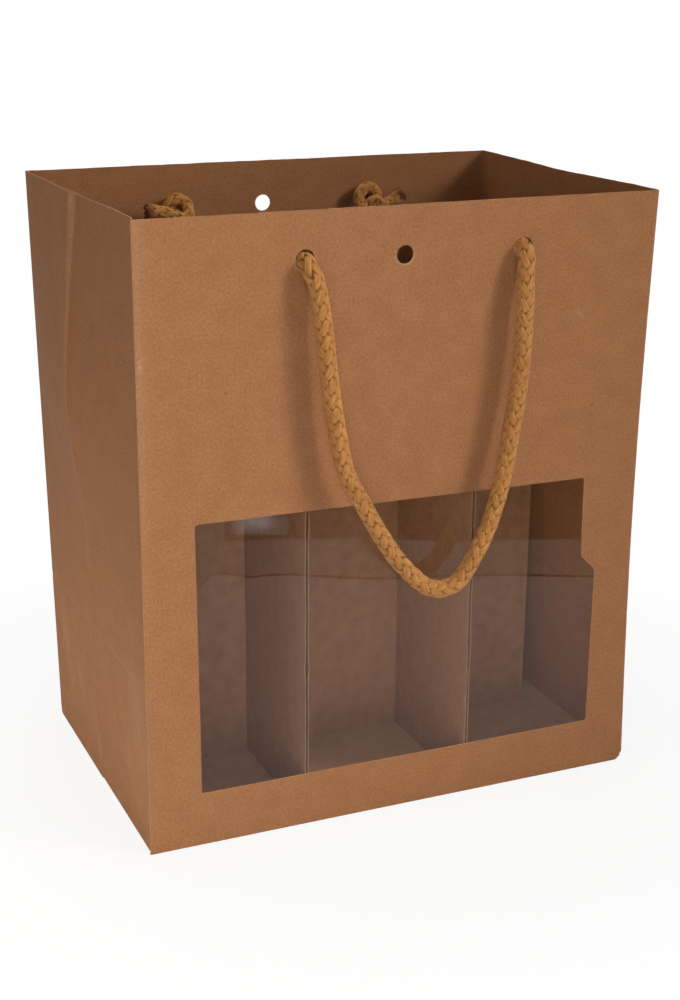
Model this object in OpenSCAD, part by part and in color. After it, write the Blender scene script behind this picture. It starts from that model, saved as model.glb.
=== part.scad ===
// Carrier bag of kraft board for six half bottles, in two rows of three.
// One folded sheet makes the bag, with a block bottom, a clear window and a loose egg-crate divider.
// Frame: X to the right along the front, Y from the front to the back, Z up.
// The origin is the middle of the base, and sizes are in millimetres.

/* [Bag] */
// Width of the bag across its front
bag_w = 220; // [200:1:250]
// Depth of the bag from front to back
bag_d = 142; // [130:1:160]
// Height of the bag
bag_h = 254; // [240:1:290]
// Thickness of the bag's board
board_t = 0.5; // [0.3:0.1:0.8]
// Width of the glued strip behind the front's left-hand edge
lap_w = 11; // [8:1:12]
// How far the two bottom flaps overlap
bottom_lap = 30; // [20:1:40]
// How far the front's cut edge stands proud of the left side
seam_step = 0.3; // [0.1:0.1:0.5]

/* [Stance] */
// How far the back's top edge has slid to the left
top_shift = 4.5; // [0:0.5:6]
// How far the left side's centre fold bulges out
left_bulge = 7; // [1:0.5:8]
// How far the right side's centre fold is pushed in at the top
right_tuck = 4; // [0:0.5:5]
// How far the front's right-hand edge bows in at half height
edge_bow = 2.5; // [0:0.5:3]
// Height at which the left side bulges most
bulge_z = 174; // [165:1:185]

/* [Window] */
// Distance from the bag's left-hand edge to the window
window_left = 21.5; // [21:0.5:26]
// Width of the window at its top
window_w = 171; // [150:1:173]
// Height of the window's lower edge over the base
window_z = 23; // [18:1:30]
// Height of the window
window_h = 114; // [100:1:120]
// How much wider the window is below its step
step_w = 7.5; // [4:0.5:9]
// Height of the step's lower end over the window's lower edge
step_z = 71; // [60:1:80]
// Height of the step's slanted part
step_rise = 7; // [5:1:14]
// Radius of the window's corners
window_r = 2; // [1:0.5:3]
// Thickness of the clear film
film_t = 0.2; // [0.1:0.05:0.3]
// How far the film is glued round the window
film_margin = 8; // [6:0.5:9]

/* [Holes] */
// Diameter of the holes for the handles
handle_hole_d = 8; // [8:0.5:9]
// Distance between a handle's two holes
handle_pitch = 92; // [92:1:92]
// Distance of a handle's middle to the right of the bag's middle
handle_offset = 2.5; // [2.5:0.5:2.5]
// Distance of the holes under the top edge
hole_drop = 19; // [14:1:24]
// Diameter of the hole for a ribbon
ribbon_hole_d = 7.5; // [5:0.5:9]
// Distance of the ribbon hole to the left of the bag's middle
ribbon_offset = 2.5; // [0:0.5:6]

/* [Handles] */
// Diameter of the braided rope
rope_d = 7.2; // [5:0.2:7.4]
// Play between the rope and the board
rope_play = 0.3; // [0.2:0.1:0.4]
// Radius of a knot, from its middle to the middle of its strand
knot_r = 4.2; // [3.8:0.2:5]
// Length of a knot's loose end
tail_l = 18; // [12:1:24]
// Slope of a knot's loose end in degrees
tail_slope = 10; // [0:1:20]

/* [Divider] */
// Thickness of the divider's board
divider_t = 1.6; // [1.2:0.1:2]
// Height of the divider
divider_h = 140; // [125:1:160]
// Free width of the two outer cells
end_cell_w = 66; // [64:1:68]
// Free width of the middle cell
mid_cell_w = 71.7; // [66:0.1:73]
// Play of a slot beside the board that goes through it
slot_play = 0.2; // [0.1:0.1:0.4]
// Thickness of the base card
card_t = 0.8; // [0.5:0.1:1.5]
// Play between the bag and what lies loose in it
fit_play = 0.3; // [0.2:0.1:0.6]

/* [Hidden] */

kraft = [0.66, 0.46, 0.31];
card_brown = [0.60, 0.43, 0.30];
rope_tan = [0.66, 0.50, 0.27];
film_clear = [0.85, 0.87, 0.88, 0.3];

round_fn = 48;
cut = 1;

// Places worked out from the sizes above
crease_z = bag_d / 2;
floor_z = 3 * board_t;
card_top = floor_z + card_t;
inner_front = -bag_d / 2 + board_t;
inner_back = bag_d / 2 - board_t;
inner_left = -bag_w / 2 + board_t;
hole_z = bag_h - hole_drop;
hole_shift = top_shift * hole_z / bag_h;
window_x0 = -bag_w / 2 + window_left;
window_x1 = window_x0 + window_w;
window_x2 = window_x1 + step_w;
window_top = window_z + window_h;
film_x0 = max(window_x0 - film_margin, inner_left + lap_w + fit_play);
film_back = inner_front + film_t;

// Heights at which the tube's outline is worked out
upper_steps = 6;
levels = [0, crease_z, for (i = [1 : upper_steps]) crease_z + (bag_h - crease_z) * i / upper_steps];

// The left side bulges on a cosine hump that dies away over these heights
bulge_rise = 60;
bulge_fall = 100;
function hump(d) = abs(d) < 1 ? (1 + cos(180 * d)) / 2 : 0;
function bulge(z) = left_bulge * hump(z < bulge_z ? (z - bulge_z) / bulge_rise : (z - bulge_z) / bulge_fall);
function tuck(z) = right_tuck * max(0, z - crease_z) / (bag_h - crease_z);
function bow(z) = edge_bow * sin(180 * z / bag_h);
function slide(z) = -top_shift * z / bag_h;

// The tube's six corners at height z, inset by the board's thickness for its inner side
function outline(z, inset) =
    let (
        front_l = -bag_w / 2,
        front_r = bag_w / 2 - bow(z),
        back_l = front_l + slide(z),
        back_r = bag_w / 2 + slide(z),
        side_l = (front_l + back_l) / 2 - bulge(z),
        side_r = (front_r + back_r) / 2 - tuck(z),
        deep = bag_d / 2 - inset
    )
    [
        [front_l + inset, -deep, z], [front_r - inset, -deep, z], [side_r - inset, 0, z],
        [back_r - inset, deep, z], [back_l + inset, deep, z], [side_l + inset, 0, z]
    ];

// Wall of the tube as one closed skin: its outer side, its inner side and the two cut edges.
// In the lowest band the sides are split along the slanted creases of the block bottom.
module tube_wall() {
    last = len(levels) - 1;
    sides = 6;
    count = len(levels) * sides;
    slanted = [1, 4];
    skins = [
        for (inset = [0, board_t], z = levels) each outline(z, inset)
    ];
    // Two triangles of one band of the skin, between corner k and the next
    function band(i, k, first) =
        let (
            a = first + i * sides + k,
            b = first + i * sides + (k + 1) % sides,
            c = b + sides,
            d = a + sides
        )
        k == slanted[0] || k == slanted[1] ? [[a, d, c], [a, c, b]] : [[a, d, b], [b, d, c]];
    function turned(faces) = [for (f = faces) [f[2], f[1], f[0]]];
    // Cut edge between the two skins at level i
    function rim(i, k) =
        let (
            a = i * sides + k,
            b = i * sides + (k + 1) % sides
        )
        [[a, b, b + count], [a, b + count, a + count]];
    faces = [
        for (k = [0 : sides - 1]) each concat(
            [for (i = [0 : last - 1]) each concat(band(i, k, 0), turned(band(i, k, count)))],
            rim(0, k),
            turned(rim(last, k))
        )
    ];
    polyhedron(points = skins, faces = faces, convexity = 6);
}

// Round hole along Y through the board whose outer face is at y
module board_hole(x, y, d) {
    translate([x, y, hole_z]) rotate([90, 0, 0])
        cylinder(d = d, h = 4 * board_t + 2 * cut, center = true, $fn = round_fn);
}

// Outline with its corners rounded by curves that start at distance r from each corner
function rounded(pts, r, steps = 4) =
    let (n = len(pts))
    [
        for (i = [0 : n - 1])
            let (
                p = pts[i],
                from = p + r * unit(pts[(i + n - 1) % n] - p),
                to = p + r * unit(pts[(i + 1) % n] - p)
            )
            for (k = [0 : steps])
                let (s = k / steps)
                pow(1 - s, 2) * from + 2 * s * (1 - s) * p + pow(s, 2) * to
    ];

// The window's outline in the plane of the front
module window_outline() {
    polygon(rounded([
        [window_x0, window_z], [window_x2, window_z],
        [window_x2, window_z + step_z], [window_x1, window_z + step_z + step_rise],
        [window_x1, window_top], [window_x0, window_top]
    ], window_r));
}

// Half sizes of the bottom's layers, whose folds lie in the middle of the wall
fold_x = (bag_w - board_t) / 2;
fold_y = (bag_d - board_t) / 2;

// Bottom flap: its long edge lies on the fold and its ends run in at 45 degrees
module flap(reach, z) {
    translate([0, 0, z]) linear_extrude(board_t)
        polygon([
            [-fold_x, fold_y], [fold_x, fold_y],
            [fold_x - reach, fold_y - reach], [reach - fold_x, fold_y - reach]
        ]);
}

// Corner of the bottom that is folded back under a flap
module folded_corner(reach) {
    translate([0, 0, board_t]) linear_extrude(board_t)
        polygon([[-fold_x, fold_y], [reach - fold_x, fold_y], [reach - fold_x, fold_y - reach]]);
}

// The block bottom: two side pieces inside, four folded corners and two lapped flaps
module block_bottom() {
    reach = (bag_d + bottom_lap) / 2;
    for (side = [0, 1]) mirror([side, 0, 0]) {
        translate([-fold_x, -fold_y, 2 * board_t]) cube([reach, 2 * fold_y, board_t]);
        for (end = [0, 1]) mirror([0, end, 0]) folded_corner(reach);
    }
    flap(reach, 0);
    mirror([0, 1, 0]) {
        flap((bag_d - bottom_lap) / 2 - board_t, 0);
        flap(reach, board_t);
    }
}

// The bag: one sheet folded to a tube, lapped and glued at the front left corner
module carrier_body() {
    color(kraft) difference() {
        union() {
            tube_wall();
            block_bottom();
            translate([inner_left - board_t / 2, inner_front - board_t / 2, floor_z])
                cube([lap_w + board_t / 2, 1.5 * board_t, bag_h - floor_z]);
            translate([-bag_w / 2 - seam_step, -bag_d / 2, 0]) cube([2 * seam_step, board_t, bag_h]);
        }
        translate([0, -bag_d / 2, 0]) rotate([90, 0, 0])
            linear_extrude(4 * board_t, center = true) window_outline();
        for (side = [-1, 1]) {
            board_hole(handle_offset + side * handle_pitch / 2, -bag_d / 2, handle_hole_d);
            board_hole(handle_offset - hole_shift + side * handle_pitch / 2, bag_d / 2, handle_hole_d);
        }
        board_hole(-ribbon_offset, -bag_d / 2, ribbon_hole_d);
        board_hole(-ribbon_offset - hole_shift, bag_d / 2, ribbon_hole_d);
    }
}

// Clear film glued behind the window
module window_film() {
    color(film_clear)
        translate([film_x0, inner_front, window_z - film_margin])
            cube([window_x2 + film_margin - film_x0, film_t, window_h + 2 * film_margin]);
}

// Card that lies on the bottom's folds and spreads the load
module base_card() {
    card_w = bag_w - 2 * (board_t + fit_play);
    card_d = bag_d - 2 * (board_t + fit_play);
    color(card_brown)
        translate([-card_w / 2, -card_d / 2, floor_z]) cube([card_w, card_d, card_t]);
}

// Places of the divider's boards
divider_left = inner_left + fit_play;
cross_left_x = divider_left + end_cell_w;
cross_right_x = cross_left_x + divider_t + mid_cell_w;
divider_l = 2 * end_cell_w + mid_cell_w + 2 * divider_t;
slot_w = divider_t + 2 * slot_play;
slot_h = divider_h / 2 + slot_play;

// Long board between the two rows, slotted from its top edge
module divider_long() {
    color(card_brown) difference() {
        translate([divider_left, -divider_t / 2, card_top]) cube([divider_l, divider_t, divider_h]);
        for (x = [cross_left_x, cross_right_x])
            translate([x - slot_play, -divider_t, card_top + divider_h - slot_h])
                cube([slot_w, 2 * divider_t, slot_h + cut]);
    }
}

// Board across the bag, slotted from its lower edge
module divider_cross(x) {
    front = film_back + fit_play;
    back = inner_back - fit_play;
    color(card_brown) difference() {
        translate([x, front, card_top]) cube([divider_t, back - front, divider_h]);
        translate([x - divider_t / 2, -slot_w / 2, card_top - cut])
            cube([2 * divider_t, slot_w, slot_h + cut]);
    }
}

module divider_cross_left() { divider_cross(cross_left_x); }
module divider_cross_right() { divider_cross(cross_right_x); }

// Middle line of the front handle, from its left hole to its right one.
// Each point is [x from the handle's middle, distance before the holes' pivots, height over them].
rope_route = [
    [-46, 0, 0], [-45.5, 1.5, -7], [-43.5, 3, -17], [-42, 3.5, -29], [-40.5, 4, -42],
    [-38.5, 4.5, -55], [-36.5, 5, -68], [-33, 5.5, -81], [-27, 6, -93], [-18.5, 7, -108],
    [-8.5, 7, -122], [3.5, 7, -132], [14, 7, -132], [22, 7, -123], [29.5, 6.5, -108.5],
    [34, 6, -94], [37, 5.5, -82], [39.5, 5, -68], [41.5, 4.5, -54], [43, 4, -41],
    [43.5, 3.5, -28], [44.5, 3, -17], [45.5, 1.5, -7], [46, 0, 0]
];
rope_sides = 10;
// Rounding of the rope's ends: [distance back from the tip, share of the radius], in rope radii
end_rings = [[-1, 0.12], [-0.87, 0.5], [-0.5, 0.87]];

function unit(v) = v / norm(v);
function way(pts, i) = unit(pts[min(i + 1, len(pts) - 1)] - pts[max(i - 1, 0)]);
function rope_ring(p, t, r) =
    let (a = unit([0, 1, 0] - t * t[1]), b = cross(t, a))
    [for (k = [0 : rope_sides - 1]) p + r * (cos(360 * k / rope_sides) * a + sin(360 * k / rope_sides) * b)];

// Round rope along the points, with rounded ends
module rope(pts, r) {
    last = len(pts) - 1;
    first_way = way(pts, 0);
    last_way = way(pts, last);
    rings = concat(
        [for (e = end_rings) rope_ring(pts[0] + first_way * e[0] * r, first_way, e[1] * r)],
        [for (i = [0 : last]) rope_ring(pts[i], way(pts, i), r)],
        [for (k = [len(end_rings) - 1 : -1 : 0])
            rope_ring(pts[last] - last_way * end_rings[k][0] * r, last_way, end_rings[k][1] * r)]
    );
    n = rope_sides;
    m = len(rings) - 1;
    polyhedron(
        points = [for (ring = rings) each ring],
        faces = concat(
            [[for (k = [0 : n - 1]) k]],
            [[for (k = [n - 1 : -1 : 0]) m * n + k]],
            [
                for (i = [0 : m - 1], k = [0 : n - 1])
                    let (a = i * n + k, b = i * n + (k + 1) % n)
                    each [[a, a + n, b], [b, a + n, b + n]]
            ]
        ),
        convexity = 8
    );
}

// A handle's pivots lie just clear of the board, on the holes' axes
pivot_y = bag_d / 2 + rope_d / 2 + rope_play;

// Loop of the front handle, hanging before the front
module front_handle_rope() {
    color(rope_tan)
        rope([for (p = rope_route) [handle_offset + p[0], -pivot_y - p[1], hole_z + p[2]]], rope_d / 2);
}

// Loop of the back handle, the same rope turned round
module back_handle_rope() {
    color(rope_tan)
        rope([for (p = rope_route) [handle_offset - hole_shift - p[0], pivot_y + p[1], hole_z + p[2]]],
            rope_d / 2);
}

// Stopper knot inside the board, its stub through the hole and its loose end.
// It is drawn for a board whose outer face is at y = 0, with the inside towards +Y.
module knot(side) {
    r = rope_d / 2;
    middle = board_t + rope_play + r;
    tail_r = 0.85 * r;
    rotate([-90, 0, 0]) {
        cylinder(r = r, h = middle, $fn = round_fn);
        translate([0, 0, middle]) rotate_extrude($fn = round_fn) translate([knot_r, 0]) circle(r = r, $fn = 24);
    }
    translate([0, middle, 0]) rotate([0, side > 0 ? 90 - tail_slope : tail_slope - 90, 0]) {
        cylinder(r = tail_r, h = tail_l, $fn = round_fn);
        translate([0, 0, tail_l]) sphere(r = tail_r, $fn = round_fn);
    }
}

module front_knot(side) {
    color(rope_tan) translate([handle_offset + side * handle_pitch / 2, -bag_d / 2, hole_z]) knot(side);
}

module back_knot(side) {
    color(rope_tan)
        translate([handle_offset - hole_shift + side * handle_pitch / 2, bag_d / 2, hole_z])
            mirror([0, 1, 0]) knot(side);
}

module front_handle_knot_left() { front_knot(-1); }
module front_handle_knot_right() { front_knot(1); }
module back_handle_knot_left() { back_knot(-1); }
module back_handle_knot_right() { back_knot(1); }

carrier_body();
window_film();
base_card();
divider_long();
divider_cross_left();
divider_cross_right();
front_handle_rope();
front_handle_knot_left();
front_handle_knot_right();
back_handle_rope();
back_handle_knot_left();
back_handle_knot_right();
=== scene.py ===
"""Looks of a carrier bag of kraft board with six cells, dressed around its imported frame.

The bag is one sheet of unbleached kraft board with a block bottom, a die-cut window with clear film
behind it, two handles of braided rope knotted inside, and an egg-crate divider of fluted board on a
base card.  Frame: X to the right along the front, Y to the back, Z up, origin in the middle of the
base.  Shapes are worked out in millimetres and put into the meshes in metres.
"""
from __future__ import annotations

import logging
import math
from dataclasses import dataclass, field
from enum import Enum
from typing import Sequence

import bpy
import numpy as np
from mathutils import Matrix, Vector, geometry


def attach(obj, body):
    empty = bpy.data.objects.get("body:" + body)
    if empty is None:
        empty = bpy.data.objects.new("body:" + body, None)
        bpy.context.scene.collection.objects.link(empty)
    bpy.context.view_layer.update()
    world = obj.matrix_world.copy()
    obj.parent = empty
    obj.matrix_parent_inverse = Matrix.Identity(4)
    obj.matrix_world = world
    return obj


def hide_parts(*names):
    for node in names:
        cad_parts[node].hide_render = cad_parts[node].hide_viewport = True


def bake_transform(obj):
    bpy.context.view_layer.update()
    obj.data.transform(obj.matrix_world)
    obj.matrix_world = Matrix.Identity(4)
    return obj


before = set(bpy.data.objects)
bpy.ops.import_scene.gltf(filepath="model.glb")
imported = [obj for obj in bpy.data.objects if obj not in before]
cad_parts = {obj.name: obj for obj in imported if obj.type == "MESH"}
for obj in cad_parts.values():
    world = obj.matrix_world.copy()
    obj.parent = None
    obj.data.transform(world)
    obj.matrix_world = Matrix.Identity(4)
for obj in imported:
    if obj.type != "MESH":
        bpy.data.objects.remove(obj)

logging.basicConfig(level=logging.INFO, format="%(message)s")
LOG = logging.getLogger("carrier")
MM = 0.001
PICTURE = (680, 1000)
SEED = 7
FIBRE_RELIEF = 0.1 * MM  # how far paper fibres stand up


# Small tools

def linear(hex_colour: str) -> tuple[float, float, float, float]:
    """Turns an sRGB hex colour into linear RGBA.

    Args:
        hex_colour: colour as "#rrggbb".

    Returns:
        The linear red, green and blue, and an alpha of 1.
    """
    parts = [int(hex_colour[i:i + 2], 16) / 255 for i in (1, 3, 5)]
    low = [c / 12.92 if c <= 0.04045 else ((c + 0.055) / 1.055) ** 2.4 for c in parts]
    return (low[0], low[1], low[2], 1.0)


def put(tree: bpy.types.NodeTree, kind: str, inputs: dict | None = None, **settings) -> bpy.types.Node:
    """Adds a node with its settings and links.

    Args:
        tree: node tree that gets the node.
        kind: the node's type, such as "ShaderNodeTexNoise".
        inputs: socket name or number against a plain value, or an output socket to link.
        settings: properties of the node itself.

    Returns:
        The new node.
    """
    node = tree.nodes.new(kind)
    for name, value in settings.items():
        setattr(node, name, value)
    for key, value in (inputs or {}).items():
        socket = node.inputs[key]
        if isinstance(value, bpy.types.NodeSocket):
            tree.links.new(value, socket)
        else:
            socket.default_value = value
    return node


def ramp(tree: bpy.types.NodeTree, fac: bpy.types.NodeSocket,
         stops: Sequence[tuple[float, tuple[float, float, float, float]]]) -> bpy.types.NodeSocket:
    """Adds a colour ramp.

    Args:
        tree: node tree that gets the ramp.
        fac: the value that it turns into a colour.
        stops: places from 0 to 1 with their linear colours, in rising order.

    Returns:
        The ramp's colour.
    """
    node = put(tree, "ShaderNodeValToRGB", {"Fac": fac})
    band = node.color_ramp
    while len(band.elements) < len(stops):
        band.elements.new(0.5)
    for element, (place, colour) in zip(band.elements, stops):
        element.position = place
        element.color = colour
    return node.outputs["Color"]


def new_material(name: str) -> tuple[bpy.types.Material, bpy.types.NodeTree, bpy.types.Node]:
    """Makes a material with nothing but its output.

    Args:
        name: the material's name.

    Returns:
        The material, its node tree and its output node.
    """
    material = bpy.data.materials.new(name)
    material.use_nodes = True
    tree = material.node_tree
    tree.nodes.clear()
    return material, tree, put(tree, "ShaderNodeOutputMaterial")


def unit(v: np.ndarray) -> np.ndarray:
    """Vectors along the last axis at length 1."""
    return v / np.maximum(np.linalg.norm(v, axis=-1, keepdims=True), 1e-12)


def ease(x: np.ndarray | float) -> np.ndarray:
    """Smooth step: 3x2 - 2x3 between 0 and 1, and level outside."""
    t = np.clip(x, 0, 1)
    return t * t * (3 - 2 * t)


def hill(d: np.ndarray, width: float) -> np.ndarray:
    """Bell curve exp(-(d / width)2)."""
    return np.exp(-((d / width) ** 2))


def through(z: np.ndarray, table: Sequence[tuple[float, float]], soften: float) -> np.ndarray:
    """Smooth curve through a table of measured values.

    It is the piecewise straight line through the table, averaged over a window on each side.

    Args:
        z: places at which the value is wanted.
        table: pairs of place and value, in rising order.
        soften: half width of the window.

    Returns:
        The value at each place.
    """
    at = np.array([p for p, _ in table], float)
    value = np.array([v for _, v in table], float)
    window = np.linspace(-soften, soften, 7)
    weights = np.cos(window / soften * math.pi / 2.4)
    total = sum(w * np.interp(z + d, at, value) for w, d in zip(weights, window))
    return total / weights.sum()


def waves(s: np.ndarray, z: np.ndarray, length: float, seed: int) -> np.ndarray:
    """Soft random undulation between about -1 and 1.

    It is the mean of eight sine waves of about the given length that run in random directions.

    Args:
        s: first coordinate.
        z: second coordinate.
        length: usual wave length.
        seed: number that fixes the directions and phases.

    Returns:
        The height at each place.
    """
    rng = np.random.default_rng(seed)
    total = np.zeros(np.broadcast(s, z).shape)
    for _ in range(8):
        turn, phase = rng.uniform(0, 2 * math.pi, 2)
        k = 2 * math.pi / length * rng.uniform(0.6, 1.5)
        total = total + np.sin(k * (s * math.cos(turn) + z * math.sin(turn)) + phase)
    return total / 4


def make_piece(name: str, points: np.ndarray, faces: np.ndarray | list,
               materials: Sequence[bpy.types.Material], which: np.ndarray | None = None,
               uv: np.ndarray | None = None,
               values: dict[str, np.ndarray] | None = None, sharp: float | None = 40) -> bpy.types.Object:
    """Puts arrays into a mesh and links its object at the origin.

    Args:
        name: name of the piece.
        points: n x 3 places in millimetres.
        faces: m x 3 or m x 4 vertex numbers, or a list of such arrays.
        materials: finishes of the piece.
        which: material number of each face.
        uv: n x 2 coordinates per vertex, in metres on the sheet or strand.
        values: named numbers per vertex for the materials.
        sharp: angle in degrees past which an edge stays sharp, or None for flat faces.

    Returns:
        The new object.
    """
    mesh = bpy.data.meshes.new(name)
    groups = [np.asarray(f, np.int32) for f in (faces if isinstance(faces, list) else [faces])]
    corners = np.concatenate([g.ravel() for g in groups])
    totals = np.concatenate([np.full(len(g), g.shape[1], np.int32) for g in groups])
    mesh.vertices.add(len(points))
    mesh.vertices.foreach_set("co", (np.asarray(points, float) * MM).astype(np.float32).ravel())
    mesh.loops.add(len(corners))
    mesh.loops.foreach_set("vertex_index", corners)
    mesh.polygons.add(len(totals))
    mesh.polygons.foreach_set("loop_start", np.concatenate([[0], np.cumsum(totals)[:-1]]).astype(np.int32))
    mesh.polygons.foreach_set("loop_total", totals)
    if which is not None:
        mesh.polygons.foreach_set("material_index", np.asarray(which, np.int32))
    if uv is not None:
        layer = mesh.uv_layers.new(name="sheet")
        layer.data.foreach_set("uv", np.asarray(uv, np.float32)[corners].ravel())
    for key, value in (values or {}).items():
        mesh.attributes.new(key, "FLOAT", "POINT").data.foreach_set("value", np.asarray(value, np.float32))
    mesh.update(calc_edges=True)
    mesh.validate()
    mesh.polygons.foreach_set("use_smooth", np.full(len(mesh.polygons), sharp is not None))
    if sharp is not None:
        mesh.set_sharp_from_angle(angle=math.radians(sharp))
    for material in materials:
        mesh.materials.append(material)
    piece = bpy.data.objects.new(name, mesh)
    bpy.context.scene.collection.objects.link(piece)
    LOG.info("%s: %d vertices, %d faces", name, len(mesh.vertices), len(mesh.polygons))
    return piece


def inside_loop(points: np.ndarray, loop: np.ndarray, margin: float) -> np.ndarray:
    """Tells which points lie inside a closed line, or within a margin of it.

    A point is inside when a ray from it to the right crosses the line an odd number of times.

    Args:
        points: n x 2 places.
        loop: m x 2 corners.
        margin: distance from the line that still counts.

    Returns:
        n truth values.
    """
    box = ((points >= loop.min(0) - margin) & (points <= loop.max(0) + margin)).all(axis=1)
    p = points[box][:, None, :]
    way = np.roll(loop, -1, axis=0) - loop
    past = p - loop
    crosses = (past[..., 1] < 0) != (past[..., 1] < way[:, 1])
    rise = np.where(way[:, 1] == 0, 1.0, way[:, 1])
    inside = (crosses & (past[..., 0] < past[..., 1] * way[:, 0] / rise)).sum(axis=1) % 2 == 1
    share = np.clip((past * way).sum(axis=-1) / np.maximum((way * way).sum(axis=-1), 1e-12), 0, 1)
    near = np.linalg.norm(past - share[..., None] * way, axis=-1).min(axis=1)
    out = np.zeros(len(points), bool)
    out[box] = inside | (near < margin)
    return out


def closed_slab(front: np.ndarray, back: np.ndarray) -> tuple[np.ndarray, np.ndarray]:
    """Closed slab between two grids of places.

    Args:
        front: a x b x 3 places whose normal points outwards when a runs right and b up.
        back: a x b x 3 places behind them.

    Returns:
        The places, n x 3, and quads.
    """
    a, b = front.shape[:2]
    number = np.arange(a * b).reshape(a, b)
    q = np.stack([number[:-1, :-1], number[1:, :-1], number[1:, 1:], number[:-1, 1:]], axis=-1).reshape(-1, 4)
    rim = np.concatenate([number[:, 0], number[-1, 1:], number[-2::-1, -1], number[0, -2:0:-1]])
    nxt = np.roll(rim, -1)
    n = a * b
    sides = np.column_stack([nxt, rim, rim + n, nxt + n])
    faces = np.concatenate([q, q[:, ::-1] + n, sides])
    return np.concatenate([front.reshape(-1, 3), back.reshape(-1, 3)]), faces


def joined(parts: Sequence[tuple[np.ndarray, np.ndarray]]) -> tuple[np.ndarray, np.ndarray]:
    """Puts meshes together: their places end to end, and their faces numbered on.

    Args:
        parts: places and faces of each mesh, with as many corners to a face in all of them.

    Returns:
        All places and all faces.
    """
    first = np.cumsum([0] + [len(points) for points, _ in parts])
    return (np.concatenate([points for points, _ in parts]),
            np.concatenate([faces + start for (_, faces), start in zip(parts, first)]))


def thinned(values: np.ndarray, gap: float = 0.12) -> np.ndarray:
    """Values in rising order, without those that stand within the gap after another."""
    rising = np.unique(np.round(values, 3))
    return rising[np.concatenate([[True], np.diff(rising) > gap])]


# Finishes

@dataclass(frozen=True)
class KraftBoard:
    """Unbleached kraft board, machine glazed: a dull brown of short fibres with a few dark shives.

    The eye reads three scales: faint clouds of fibres a centimetre across and less, a fine mottle of
    single fibres, and sparse dark specks.  Creases and cut edges show paler, broken fibres, and the
    same pale tone paints highlights on the holes' lower lips and on the front's left edge, and sheen
    in streaks low on the left side.
    """

    name: str = "kraft_board"
    brown: str = "#a16f49"
    pale: str = "#ae7b53"
    deep: str = "#946441"
    # Pale tone of broken fibres, also used for painted highlight and painted sheen.
    worn_and_lit: str = "#c6a080"
    speck: str = "#5a3824"
    cloud_mm: float = 11.0
    fibre_mm: float = 1.0
    mottle: float = 0.72
    speck_mm: float = 7.0
    speck_share: float = 0.38
    speck_size: float = 0.075
    roughness: float = 0.62

    def material(self) -> bpy.types.Material:
        """Builds the finish; patterns lie on the sheet's own flat coordinates.

        The specks are drawn about twice as coarse as real shives, so that they show.

        Returns:
            The material.
        """
        material, tree, output = new_material(self.name)
        flat = put(tree, "ShaderNodeUVMap", uv_map="sheet").outputs["UV"]
        clouds = put(tree, "ShaderNodeTexNoise", {
            "Vector": flat, "Scale": 1 / (self.cloud_mm * MM), "Detail": 4.0, "Roughness": 0.62})
        fibres = put(tree, "ShaderNodeTexNoise", {
            "Vector": flat, "Scale": 1 / (self.fibre_mm * MM), "Detail": 3.0, "Roughness": 0.6})
        mixed = put(tree, "ShaderNodeMix", {
            "Factor": self.mottle, "A": clouds.outputs["Fac"], "B": fibres.outputs["Fac"]},
            data_type="FLOAT")
        tone = ramp(tree, mixed.outputs["Result"], [
            (0.34, linear(self.deep)), (0.5, linear(self.brown)), (0.66, linear(self.pale))])
        cells = put(tree, "ShaderNodeTexVoronoi", {"Vector": flat, "Scale": 1 / (self.speck_mm * MM)},
                    feature="F1")
        chosen = put(tree, "ShaderNodeSeparateColor", {"Color": cells.outputs["Color"]})
        size = put(tree, "ShaderNodeMapRange", {
            "Value": chosen.outputs["Red"], "From Min": 1 - self.speck_share, "From Max": 1.0,
            "To Min": 0.0, "To Max": self.speck_size})
        near = put(tree, "ShaderNodeMath", {0: cells.outputs["Distance"], 1: size.outputs["Result"]},
                   operation="LESS_THAN")
        soft = put(tree, "ShaderNodeMath", {0: near.outputs[0], 1: 0.6}, operation="MULTIPLY")
        specked = put(tree, "ShaderNodeMix", {"Factor": soft.outputs[0], "A": tone, "B": linear(self.speck)},
                      data_type="RGBA")
        # Pale tone by a per-point mask: broken fibres along folds, creases and scuff marks, and also painted
        # highlight on the holes' lower lips and the front's left edge, and painted sheen low on the left
        # side.
        wear_and_highlight = put(tree, "ShaderNodeAttribute", attribute_name="wear_and_highlight").outputs["Fac"]
        broken = put(tree, "ShaderNodeMapRange", {
            "Value": fibres.outputs["Fac"], "From Min": 0.35, "From Max": 0.65,
            "To Min": 0.55, "To Max": 1.0})
        scuff = put(tree, "ShaderNodeMath", {0: wear_and_highlight, 1: broken.outputs["Result"]}, operation="MULTIPLY",
                    use_clamp=True)
        scuffed = put(tree, "ShaderNodeMix", {"Factor": scuff.outputs[0], "A": specked.outputs["Result"],
                                              "B": linear(self.worn_and_lit)}, data_type="RGBA")
        bump = put(tree, "ShaderNodeBump", {
            "Strength": 0.18, "Distance": FIBRE_RELIEF, "Height": fibres.outputs["Fac"]})
        shader = put(tree, "ShaderNodeBsdfPrincipled", {
            "Base Color": scuffed.outputs["Result"], "Roughness": self.roughness, "IOR": 1.45,
            "Specular IOR Level": 0.28, "Normal": bump.outputs["Normal"]})
        tree.links.new(shader.outputs["BSDF"], output.inputs["Surface"])
        return material


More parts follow.
